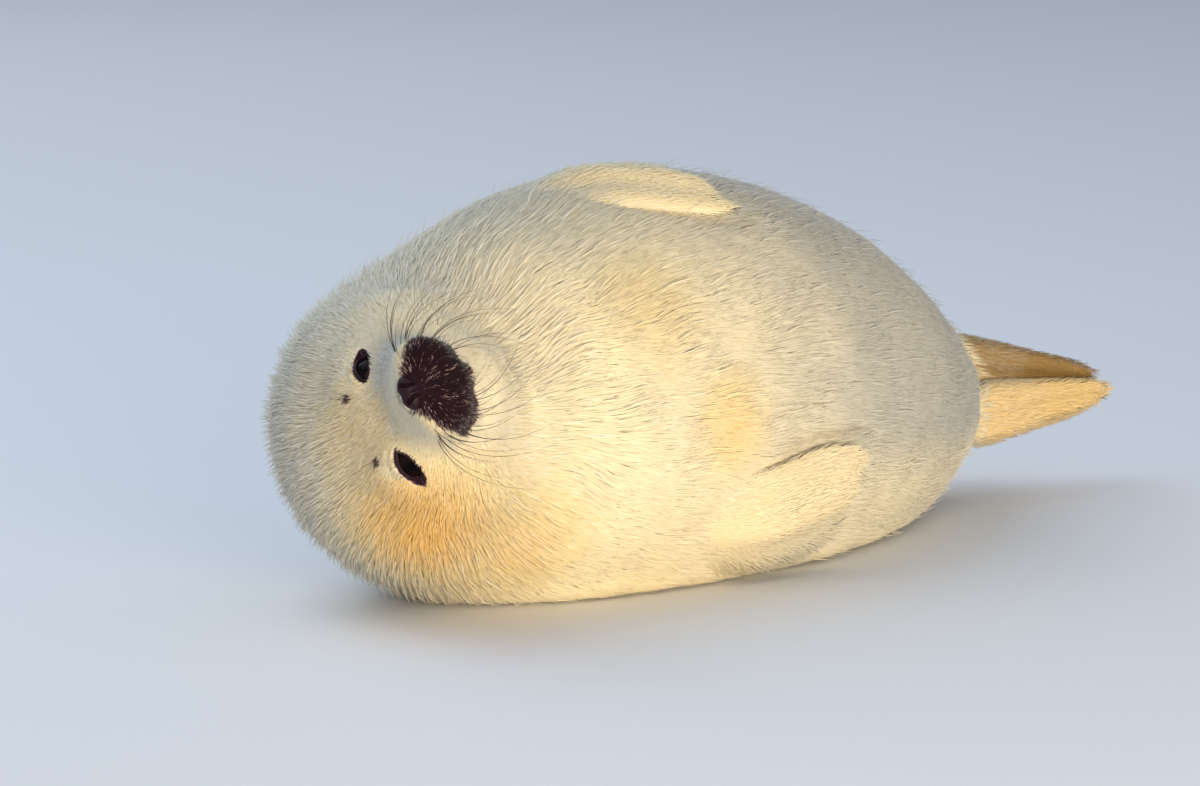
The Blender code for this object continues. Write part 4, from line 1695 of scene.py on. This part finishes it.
@dataclass(frozen=True)
class Coat:
    """The woolly coat, as thin tufts of mesh that lie back along the body.

    A range of chance tells the least and the most that a tuft's own measure is multiplied by.
    """

    skin: Skin
    nose: NosePad
    spindle: Spindle = Spindle()
    frost: Frost = Frost()
    names: tuple[str, ...] = ("muzzle", "face", "cheeks", "neck", "shoulders", "chest", "belly")
    body_tufts: int = 224000
    limb_tufts: tuple[int, ...] = (8200, 8200, 6600, 6600, 1200)
    rump_tufts: int = 2200
    lengths: Curve = curve(
        *(0.000, 0.0035, 0.030, 0.0055, 0.060, 0.0080, 0.085, 0.0150, 0.120, 0.0220),
        *(0.180, 0.0290, 0.300, 0.0340, 0.650, 0.0330, 0.780, 0.0200, SPINE_END, 0.0160),
    )
    widths: Curve = curve(
        *(0.000, 0.00040, 0.060, 0.00048, 0.090, 0.00062, 0.160, 0.00078),
        *(0.300, 0.00090, 0.700, 0.00088, SPINE_END, 0.00075),
    )
    crowding: Curve = curve(
        *(0.000, 6.0, 0.060, 5.0, 0.090, 2.4, 0.150, 1.4, 0.250, 1.0, SPINE_END, 1.1)
    )
    lying_height: float = 0.008
    lying_share: float = 0.45
    clumps: Drift = Drift(0.020, 21)
    clumped_length: float = 0.10
    clumped_height: float = 0.04
    length_chance: Range = (0.75, 1.15)
    height_chance: Range = (0.90, 1.03)
    width_chance: Range = (0.75, 1.2)
    eye_reach: Range = (0.012, 0.034)
    eye_length: float = 0.0035
    eye_width: float = 0.00045
    eye_margin: float = -0.0021
    valley: Crease = Crease(1.10, 0.20, (0.2, 0.5), (1.0, 1.1))
    valley_depth: float = 0.5
    valley_behind: Range = (0.26, 0.54)
    valley_facing: float = 0.3
    standing_head: Range = (0.12, 0.24)
    standing: float = 0.015
    standing_on_head: float = 0.14
    standing_chance: Range = (1.1, 1.9)
    steepest: float = 0.85
    swirl: Drift = Drift(0.060, 22)
    swirled: float = 0.14
    stray: float = 0.04
    hind_x: float = 0.45
    fore_size: Triple = (0.0115, 0.0045, 0.0028)
    hind_size: Triple = (0.0140, 0.0015, 0.0040)
    limb_width: float = 0.00062
    limb_length_chance: Range = (0.75, 1.2)
    limb_height_chance: Range = (0.6, 1.2)
    limb_width_chance: Range = (0.8, 1.2)
    limb_stray: float = 0.10
    fringe_round: Range = (0.55, 0.95)
    fringe_along: Range = (0.80, 1.0)
    grown_out: float = 0.93
    grown_x: float = 0.576
    split_half: float = 0.0011
    split_up: Range = (-0.056, -0.024)
    split_end: float = 0.02
    nose_end: float = 0.014
    straight: Range = (0.050, 0.090)
    steps: int = 500
    angles: int = 90
    bow: float = 1.25
    arch: float = 1.9
    limb_arch: float = 1.8
    sway: float = 1.5
    clearance: float = 0.0003
    floor: float = 0.0006
    floor_tip: float = 0.0012
    patch: float = 0.0028
    pale_dark: Range = (0.30, 0.75)
    head: Range = (0.10, 0.24)
    head_x: float = 0.02
    bright: float = 0.30
    tint: float = 0.30
    tint_head: float = 0.15
    tint_spread: float = 0.14
    untinted: float = 0.8
    untinted_x: Range = (0.57, 0.60)
    own_normal: float = 0.1

    def sizes(self, roots: Roots, rng: np.random.Generator) -> Tufts:
        """How long, high and wide the tufts of the body are.

        Args:
            roots: where they grow.
            rng: the source of chance.

        Returns:
            Their sizes.
        """
        count = len(roots)
        clump = self.clumps.at(roots.points)
        length = through(self.lengths, roots.behind) * (1 + self.clumped_length * clump)
        width = through(self.widths, roots.behind)
        for eye in self.skin.eyes:
            close = 1 - ease(*self.eye_reach, eye.from_front(roots.points))
            length = length + (self.eye_length - length) * close
            width = width + (self.eye_width - width) * close
        length = length * rng.uniform(*self.length_chance, count)
        height = 1 - self.clumped_height + self.clumped_height * clump
        height = height * self.skin.depth(roots.points, roots.behind)
        height = height * rng.uniform(*self.height_chance, count)
        first, last = self.valley_behind
        beside = (roots.behind > first) & (roots.behind < last)
        for flipper in self.skin.fore:
            middle = math.radians((flipper.root_angle + flipper.tip_angle) / 2)
            facing = np.cos(roots.angle - middle) > self.valley_facing
            valley = self.valley.at(*flipper.shares(roots.points)) * beside * facing
            height = height * (1 - self.valley_depth * valley)
        on_head = 1 - ease(*self.standing_head, roots.behind)
        standing = rng.random(count) < self.standing + self.standing_on_head * on_head
        height = np.where(standing, height * rng.uniform(*self.standing_chance, count), height)
        return Tufts(
            length=length,
            height=np.minimum(height, length * self.steepest),
            width=width * rng.uniform(*self.width_chance, count),
            stray=self.swirled * self.swirl.at(roots.points) + rng.normal(0, self.stray, count),
        )

    def limb_sizes(self, roots: Roots, rng: np.random.Generator) -> Tufts:
        """How long, high and wide the tufts of a flipper or of the tail are."""
        count = len(roots)
        fringe = ease(*self.fringe_round, -np.cos(roots.angle)) + ease(*self.fringe_along, roots.behind)
        is_hind = roots.points[:, :1] > self.hind_x
        length, longer, height = np.where(is_hind, self.hind_size, self.fore_size).T
        length = length + longer * np.minimum(fringe, 1)
        return Tufts(
            length=length * rng.uniform(*self.limb_length_chance, count),
            height=height * rng.uniform(*self.limb_height_chance, count),
            width=self.limb_width * rng.uniform(*self.limb_width_chance, count),
            stray=rng.normal(0, self.limb_stray, count),
        )

    def body_roots(self, rng: np.random.Generator) -> Roots:
        """Roots all over the body, but not on the bare nose, the lip's split and the lids."""
        surface = self.skin.trunk
        lying = surface.points[..., 2] < self.lying_height
        crowding = through(self.crowding, self.skin.rows)[:, None]
        crowding = crowding * np.where(lying, self.lying_share, 1)
        roots = surface.roots(self.body_tufts, crowding, rng)
        _, left, up = self.skin.body.spine.locate(roots.points)
        foot, top = self.split_up
        bare = (np.abs(left) < self.split_half) & (up < top) & (up > foot)
        bare &= roots.behind < self.split_end
        bare |= self.nose.covers(left, up) & (roots.behind < self.nose_end)
        for eye in self.skin.eyes:
            local = eye.seen(roots.points)
            lids = eye.is_near(roots.points) & (local[:, 0] > 0)
            bare |= lids & (eye.opening(local) > self.eye_margin)
        return roots.only(~bare)

    def limb_roots(self, rng: np.random.Generator) -> Roots:
        """Roots on the flippers, the tail and the rump, but not where a limb is in the body."""
        parts = []
        for surface, count in zip(self.skin.limbs, self.limb_tufts, strict=True):
            grown = surface.roots(count, np.ones(surface.points.shape[:2]), rng)
            outside = self.skin.body.within(grown.points) > self.grown_out
            parts.append(grown.only(outside | (grown.points[:, 0] > self.grown_x)))
        rump = self.skin.rump
        parts.append(rump.roots(self.rump_tufts, np.ones(rump.points.shape[:2]), rng))
        names = Roots.__dataclass_fields__
        return Roots(*(np.concatenate([getattr(part, name) for part in parts]) for name in names))

    @cached_property
    def lengths_back(self) -> Array:
        """Distances from the nose along the outer surface, as steps behind x angles round."""
        behind = np.linspace(0, SPINE_END, self.steps)[:, None]
        angle = np.arange(self.angles)[None, :] * (math.tau / self.angles)
        steps = norm(np.diff(self.skin.body.outer(behind, angle), axis=0))
        return np.concatenate((np.zeros((1, self.angles)), np.cumsum(steps, axis=0)))

    def further(self, behind: Array, angle: Array, step: Array) -> tuple[Array, Array]:
        """Where a walk back along the outer surface ends.

        Args:
            behind: where it begins.
            angle: the angle that it keeps to.
            step: how far it goes.

        Returns:
            How far behind the nose it ends, and what is left of it past the body's end.
        """
        last = self.steps - 1
        column = np.round(angle / math.tau * self.angles).astype(int) % self.angles
        row = np.clip(behind / SPINE_END * last, 0, last - 1e-6)
        low = row.astype(int)
        table = self.lengths_back
        begun = table[low, column] + (row - low) * (table[low + 1, column] - table[low, column])
        ended = begun + step
        apart = 10.0 * np.arange(self.angles)
        flat = (table.T + apart[:, None]).ravel()
        found = np.searchsorted(flat, ended + apart[column]) - column * self.steps
        found = np.clip(found, 1, last)
        before, after = table[found - 1, column], table[found, column]
        share = np.clip((ended - before) / np.maximum(after - before, 1e-9), 0, 1)
        left_over = np.maximum(ended - table[last, column], 0)
        return (found - 1 + share) / last * SPINE_END, left_over

    def risen(self, roots: Roots, tufts: Tufts, share: float, arch: float) -> Array:
        """How far tufts have risen and swayed aside, at a share of their length."""
        side = np.cross(roots.normals, roots.lie)
        rise = tufts.height * (1 - (1 - share) ** arch)
        sway = tufts.stray * tufts.length * share**self.sway
        return roots.normals * rise[:, None] + side * sway[:, None]

    def body_paths(self, roots: Roots, tufts: Tufts) -> list[Array]:
        """Points at the root, the middle and the tip of tufts that lie back along the body.

        Args:
            roots: where they grow.
            tufts: their sizes.

        Returns:
            The three arrays of points.
        """
        outer = self.skin.body.outer
        start = outer(roots.behind, roots.angle)
        run = np.sqrt(np.clip(tufts.length**2 - tufts.height**2, 1e-10, None))
        close = ease(*self.straight, roots.behind)[:, None]
        paths = []
        for share in self.spindle.shares:
            back = run * share**self.bow
            spot, over = self.further(roots.behind, roots.angle, back)
            moved = outer(spot, roots.angle) - start + over[:, None] * BACKWARDS
            straight = roots.lie * back[:, None]
            moved = straight + (moved - straight) * close
            point = roots.points + moved + self.risen(roots, tufts, share, self.arch)
            point[:, 2] = np.maximum(point[:, 2], self.floor + self.floor_tip * share)
            paths.append(point)
        return paths

    def limb_paths(self, roots: Roots, tufts: Tufts) -> list[Array]:
        """The same for tufts that lie straight along a flipper or the tail."""
        paths = []
        for share in self.spindle.shares:
            back = roots.lie * (tufts.length * share)[:, None]
            point = roots.points + back + self.risen(roots, tufts, share, self.limb_arch)
            point[:, 2] = np.maximum(point[:, 2], self.floor)
            paths.append(point)
        return paths

    def marks(self, roots: Roots, rng: np.random.Generator) -> dict[str, Array]:
        """Each tuft's marks, with pale hairs in the dark fur and some bright ones on the head."""
        count, x = len(roots), roots.points[:, 0]
        values = self.skin.markings.values(roots.points)
        place = self.skin.body.spine.locate(roots.points)
        frost = self.frost.chance(roots.points, roots.behind, *place[1:]) * (values["dark"] > 0.5)
        paler = rng.uniform(*self.pale_dark, count)
        values["dark"] = np.where(rng.random(count) < frost, paler, values["dark"])
        on_head = (1 - ease(*self.head, roots.behind)) * (x < self.head_x)
        bright = rng.random(count) < self.bright * on_head * (1 - values["honey"])
        tint = rng.normal(self.tint - self.tint_head * on_head, self.tint_spread, count) + bright
        untinted = self.untinted * ease(*self.untinted_x, x)
        values["tint"] = np.clip(tint, 0, 1) * (1 - untinted)
        return values

    def piece(
        self, name: str, roots: Roots, tufts: Tufts, path: list[Array], rng: np.random.Generator
    ) -> bpy.types.Object:
        """A piece of coat.

        Args:
            name: the piece's name.
            roots: where its tufts grow.
            tufts: their sizes.
            path: their points at the root, the middle and the tip.
            rng: the source of chance.

        Returns:
            The object.
        """
        count, faces = len(roots), np.array(self.spindle.faces)
        verts = self.spindle.corners(roots, tufts.width, path)
        verts[:, :, 2] = np.maximum(verts[:, :, 2], self.clearance)
        corners = verts.shape[1]
        loops = (faces.ravel() + np.arange(count)[:, None] * corners).ravel()
        mesh = bpy.data.meshes.new(name)
        mesh.vertices.add(count * corners)
        mesh.vertices.foreach_set("co", (verts - MIDDLE).astype(np.float32).ravel())
        mesh.loops.add(len(loops))
        mesh.loops.foreach_set("vertex_index", loops.astype(np.int32))
        mesh.polygons.add(count * len(faces))
        mesh.polygons.foreach_set("loop_start", np.arange(0, len(loops), 3, dtype=np.int32))
        mesh.update(calc_edges=True)
        unwrap = roots.unwrap[:, None] + (np.array(self.spindle.unwrap) - 0.5) * self.patch
        layer = mesh.uv_layers.new(name="OFBake")
        layer.uv.foreach_set("vector", unwrap[:, faces.ravel()].astype(np.float32).ravel())
        marks = {key: np.repeat(value, corners) for key, value in self.marks(roots, rng).items()}
        set_values(mesh, marks | {"reach": np.tile(self.spindle.reach, count)})
        own = np.empty(count * corners * 3, np.float32)
        mesh.vertices.foreach_get("normal", own)
        soft = own.reshape(-1, 3) * self.own_normal + np.repeat(roots.normals, corners, axis=0)
        mesh.shade_smooth()
        mesh.normals_split_custom_set_from_vertices(unit(soft).tolist())
        return new_object(name, mesh)

    def build(self) -> list[bpy.types.Object]:
        """Makes every piece of the coat, from the nose back, and then that of the flippers."""
        rng = np.random.default_rng(SEED)
        pieces = []
        body = self.body_roots(rng)
        order = np.argsort(body.behind, kind="stable")
        for name, chosen in zip(self.names, np.array_split(order, len(self.names))):
            roots = body.only(chosen)
            tufts = self.sizes(roots, rng)
            path = self.body_paths(roots, tufts)
            pieces.append(self.piece("coat_" + name, roots, tufts, path, rng))
        roots = self.limb_roots(rng)
        tufts = self.limb_sizes(roots, rng)
        path = self.limb_paths(roots, tufts)
        pieces.append(self.piece("coat_flippers", roots, tufts, path, rng))
        return pieces


# ---------------------------------------------------------------- claws and whiskers
@dataclass(frozen=True)
class Claws:
    """A claw at the end of every digit."""

    flippers: tuple[Flipper, ...]

    def build(self) -> bpy.types.Object:
        """Makes them all as one piece."""
        parts = []
        for points in (claw for flipper in self.flippers for claw in flipper.claws()):
            bm = wrapped(points)
            layer = bm.verts.layers.float.new("reach")
            centre, tip = points[0].mean(0), points[-1].mean(0)
            for vert in bm.verts:
                along = np.dot(np.array(vert.co) - centre, tip - centre)
                vert[layer] = float(along / np.dot(tip - centre, tip - centre))
            parts.append(bm)
        return solid("claws", join(parts))


@dataclass(frozen=True)
class Spread:
    """A whisker's measure, which changes by row, by column and by chance."""

    start: float
    by_row: float
    by_column: float
    least: float
    most: float

    def at(self, row: int, column: int, rng: np.random.Generator) -> float:
        """The measure of one whisker."""
        own = rng.uniform(self.least, self.most)
        return self.start + self.by_row * row + self.by_column * column + own


@dataclass(frozen=True)
class Whiskers:
    """Long thin whiskers on both sides of the muzzle, and a few over each eye."""

    body: Body
    rows: int = 5
    columns: int = 5
    behind: Spread = Spread(0.0085, 0.0, 0.0050, -0.0012, 0.0012)
    angle: Spread = Spread(14, -20, 2, -5, 5)
    down: Spread = Spread(2, 19, 0, -7, 7)
    sweep: Spread = Spread(-0.20, 0.0, 0.10, -0.06, 0.06)
    curl: Range = (0.45, 0.75)
    curl_back: Range = (0.02, 0.14)
    length: Spread = Spread(0.024, -0.002, 0.008, 0.0, 0.014)
    thick: float = 0.00027
    thick_chance: Range = (0.8, 1.15)
    sunk: float = 0.002
    brow: Triple = (0.0625, 0.0236, 0.0215)
    brow_shift: Range = (-0.002, 0.002)
    brow_way: Pair = (0.35, 0.9)
    brow_aside: Range = (-0.3, 0.6)
    brow_bend: Pair = (0.5, 0.2)
    brow_lengths: tuple[float, ...] = (0.009, 0.011, 0.013, 0.015)
    brow_thick: float = 0.6
    rings: int = 14
    sides: int = 5
    shortened: float = 0.12
    taper: float = 0.8
    across_bend: float = 1.7
    across_shift: Triple = (0.01, 0.02, 0.03)

    def hair(self, root: Array, way: Array, bend: Array, length: float, thick: float) -> bmesh.types.BMesh:
        """One whisker.

        Args:
            root: where it grows.
            way: the direction that it starts in.
            bend: the direction that it curves towards.
            length: how long it is.
            thick: its radius at the root.

        Returns:
            A closed tapering tube.
        """
        share = np.linspace(0, 1, self.rings)[:, None]
        straight = way * length * share * (1 - self.shortened * share**2)
        path = root + straight + bend * length * share**2
        along = unit(np.gradient(path, axis=0))
        aside = way + bend * self.across_bend + np.array(self.across_shift)
        across = unit(np.cross(along, aside))
        other = np.cross(along, across)
        radius = thick * (1 - self.taper * share**1.2)
        angle = np.linspace(0, math.tau, self.sides, endpoint=False)[None, :, None]
        ring = np.cos(angle) * across[:, None] + np.sin(angle) * other[:, None]
        bm = wrapped(path[:, None] + ring * radius[:, None])
        layer = bm.verts.layers.float.new("reach")
        for vert in bm.verts:
            gone = np.linalg.norm(np.array(vert.co) - root) / np.linalg.norm(path[-1] - root)
            vert[layer] = float(min(1.0, gone))
        return bm

    def on_muzzle(self, side: Side, row: int, column: int, rng: np.random.Generator) -> bmesh.types.BMesh:
        """The whisker of one row and column, from the top and from the front."""
        ahead, left, up = self.body.spine.facing(np.array(0.0))
        outer = left * side.value
        behind = self.behind.at(row, column, rng)
        angle = math.radians(self.angle.at(row, column, rng))
        angle = angle if side is Side.LEFT else math.pi - angle
        place = (np.array(behind), np.array(angle))
        root = self.body.outer(*place) - self.body.outward(*place) * self.sunk
        down = math.radians(self.down.at(row, column, rng))
        sweep = self.sweep.at(row, column, rng)
        way = outer * math.cos(down) - up * math.sin(down) - ahead * sweep
        curl = -outer * math.sin(down) - up * math.cos(down)
        bend = curl * rng.uniform(*self.curl) - ahead * rng.uniform(*self.curl_back)
        length = self.length.at(row, column, rng)
        return self.hair(root, unit(way), bend, length, self.thick * rng.uniform(*self.thick_chance))

    def on_brow(self, side: Side, length: float, rng: np.random.Generator) -> bmesh.types.BMesh:
        """A short whisker over an eye."""
        ahead, left, up = self.body.spine.facing(np.array(0.0))
        outer = left * side.value
        behind, out, high = self.brow
        root = self.body.spine.place(np.array(behind), out * side.value, high)
        root = root + left * rng.uniform(*self.brow_shift) + ahead * rng.uniform(*self.brow_shift)
        forward, upward = self.brow_way
        way = unit(ahead * forward + up * upward + outer * rng.uniform(*self.brow_aside))
        back, aside = self.brow_bend
        return self.hair(root, way, outer * aside - ahead * back, length, self.thick * self.brow_thick)

    def build(self) -> bpy.types.Object:
        """Makes them all as one piece."""
        rng = np.random.default_rng(SEED + 1)
        made = []
        for side in Side:
            for row in range(self.rows):
                made += [self.on_muzzle(side, row, column, rng) for column in range(self.columns)]
            made += [self.on_brow(side, length, rng) for length in self.brow_lengths]
        return solid("whiskers", join(made))


# ---------------------------------------------------------------- studio
@dataclass(frozen=True)
class Lamp:
    """A soft oblong light that faces the animal."""

    name: str
    place: Triple
    size: Pair
    power: float
    tone: Triple
    aim: Triple = (0.0, 0.0, 0.12)

    def build(self) -> None:
        """Puts the light in the scene."""
        data = bpy.data.lights.new(self.name, "AREA")
        data.shape = "RECTANGLE"
        data.size, data.size_y = self.size
        data.energy, data.color = self.power, self.tone
        obj = new_object(self.name, data)
        obj.location = self.place
        way = Vector(self.aim) - Vector(self.place)
        obj.rotation_euler = way.to_track_quat("-Z", "Y").to_euler()


@dataclass(frozen=True)
class Studio:
    """Floor, a warm low key light, cool light from above and behind, and the camera.

    The aim is a point of the animal, before it is moved by MIDDLE. It lies aside from and above
    the middle of the view, by those shares of the view's width.
    """

    floor_size: float = 12.0
    floor_tone: tuple = colour(0.82, 0.83, 0.86)
    floor_roughness: float = 0.9
    lamps: tuple[Lamp, ...] = (
        Lamp("key", (-1.72, -2.94, 0.38), (2.0, 0.7), 116.0, (1.0, 0.85, 0.60)),
        Lamp("fill", (-0.9, 1.3, 2.8), (2.6, 2.6), 33.0, (0.74, 0.87, 1.0)),
        Lamp("back", (1.0, 5.0, 3.6), (4.0, 4.0), 70.0, (0.86, 0.93, 1.0)),
    )
    sky: tuple = colour(0.76, 0.85, 1.0)
    sky_strength: float = 0.46
    turn: float = math.radians(40)
    elevation: float = math.radians(8.5)
    distance: float = 3.6
    lens: float = 157.5
    sensor: float = 36.0
    far: float = 60.0
    aim: Triple = (-0.157, -0.057, 0.149)
    aim_aside: float = -206 / 1200
    aim_above: float = -25 / 1200

    def floor(self) -> None:
        """A plain pale floor."""
        bm = bmesh.new()
        bmesh.ops.create_grid(bm, x_segments=1, y_segments=1, size=self.floor_size)
        mesh = bpy.data.meshes.new("floor")
        bm.to_mesh(mesh)
        bm.free()
        obj = new_object("floor", mesh)
        tone, roughness = self.floor_tone, self.floor_roughness
        mesh.materials.append(Nodes("floor").shade(Base_Color=tone, Roughness=roughness))
        obj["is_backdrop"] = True

    def surround(self) -> None:
        """A pale cool sky."""
        world = bpy.data.worlds.new("studio")
        world.use_nodes = True
        background = world.node_tree.nodes["Background"]
        background.inputs["Color"].default_value = self.sky
        background.inputs["Strength"].default_value = self.sky_strength
        bpy.context.scene.world = world

    def camera(self) -> None:
        """The camera, with the face a little left of the middle."""
        data = bpy.data.cameras.new("camera")
        data.lens, data.sensor_width, data.clip_end = self.lens, self.sensor, self.far
        obj = new_object("camera", data)
        rise, turn = self.elevation, self.turn
        level = Vector((math.cos(turn), math.sin(turn), 0))
        ahead = level * math.cos(rise) - Vector((0, 0, math.sin(rise)))
        right = Vector((math.sin(turn), -math.cos(turn), 0))
        up = right.cross(ahead)
        width = self.distance * self.sensor / self.lens
        place = Vector(self.aim) - Vector(MIDDLE) - ahead * self.distance
        place -= (right * self.aim_aside + up * self.aim_above) * width
        rotation = Matrix((right, up, -ahead)).transposed()
        obj.matrix_world = Matrix.Translation(place) @ rotation.to_4x4()
        bpy.context.scene.camera = obj

    def build(self) -> None:
        """Sets the studio up."""
        self.floor()
        for lamp in self.lamps:
            lamp.build()
        self.surround()
        self.camera()
        bpy.context.scene.view_settings.view_transform = "Standard"


FLESH = (
    *("head", "lower_jaw", "neck", "trunk", "hindquarters", "tail"),
    *("left_fore_flipper", "right_fore_flipper", "left_hind_flipper", "right_hind_flipper"),
)


def triangles(obj: bpy.types.Object) -> int:
    """How many triangles a piece has."""
    return sum(len(face.vertices) - 2 for face in obj.data.polygons)


def main() -> None:
    """Builds the pup's pieces in order, and then the studio."""
    logging.basicConfig(level=logging.INFO, format="%(name)s: %(message)s")
    spine = Spine()
    body = Body(spine)
    eyes = (Eye(spine, Side.LEFT, half_length=0.0125), Eye(spine, Side.RIGHT, half_length=0.0149))
    left_fore = ForeFlipper(
        blade=FORE_BLADE,
        body=body,
        root_behind=0.290,
        root_angle=-21.0,
        tip_behind=0.444,
        tip_angle=-56.0,
        lift=curve(0.0, -0.028, 0.25, -0.0145, 0.5, -0.0055, 1.0, -0.001),
    )
    right_fore = ForeFlipper(
        blade=FORE_BLADE,
        body=body,
        root_behind=0.322,
        root_angle=-154.0,
        tip_behind=0.488,
        tip_angle=-142.0,
        lift=curve(0.0, -0.022, 0.25, -0.008, 0.5, 0.001, 1.0, 0.005),
        # painted shade on the trailing half
        greyed_edge=0.5,
    )
    right_hind = HindFlipper(
        blade=HIND_BLADE,
        body=body,
        root=(0.500, -0.030, 0.066),
        tip=(0.675, -0.072, 0.072),
        breadth=(0, -0.62, 0.78),
    )
    left_hind = HindFlipper(
        blade=HIND_BLADE,
        body=body,
        root=(0.500, 0.001, 0.112),
        tip=(0.672, -0.063, 0.084),
        breadth=(0, -0.80, 0.60),
    )
    fore, hind = (left_fore, right_fore), (right_hind, left_hind)
    skin = Skin(body, eyes, fore, hind, Tail(spine), Markings(body, eyes, fore))
    pad = NosePad(spine)
    coat_finish, dark_finish, eye_finish = CoatFinish(), DarkSkinFinish(), EyeFinish()
    dull, horn = colour(0.22, 0.18, 0.15), colour(0.42, 0.37, 0.30)
    claw_finish = HornFinish(Slot.CLAW, pale=horn, dark=dull, roughness=0.45)
    black, brown = colour(0.02, 0.011, 0.008), colour(0.05, 0.028, 0.016)
    whisker_finish = HornFinish(Slot.WHISKER, pale=brown, dark=black, roughness=0.5)

    flesh = skin.build()
    coat_finish.dress(flesh)
    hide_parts(*FLESH)
    made = [flesh]
    for piece in Coat(skin, pad).build():
        coat_finish.dress(piece)
        made.append(piece)
    for eye, name in zip(eyes, ("left_eye", "right_eye")):
        ball = solid(name + "_ball", eye.make_ball())
        eye_finish.dress(ball)
        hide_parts(name)
        rim = solid(name + "_rims", eye.make_rim())
        dark_finish.dress(rim)
        made += [ball, rim]
    nose = solid("nose_pad", pad.make())
    dark_finish.dress(nose)
    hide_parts("nose")
    claws = Claws(fore + hind).build()
    claw_finish.dress(claws)
    whiskers = Whiskers(body).build()
    whisker_finish.dress(whiskers)
    made += [nose, claws, whiskers]
    for piece in made:
        log.info("%s: %d triangles", piece.name, triangles(piece))
    log.info("all: %d triangles", sum(triangles(piece) for piece in made))
    Studio().build()
    bounds = [[float(value) for value in corner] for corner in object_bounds()]
    {"cad": CAD_BOX, "visual": bounds}


if __name__ == "__main__":
    main()
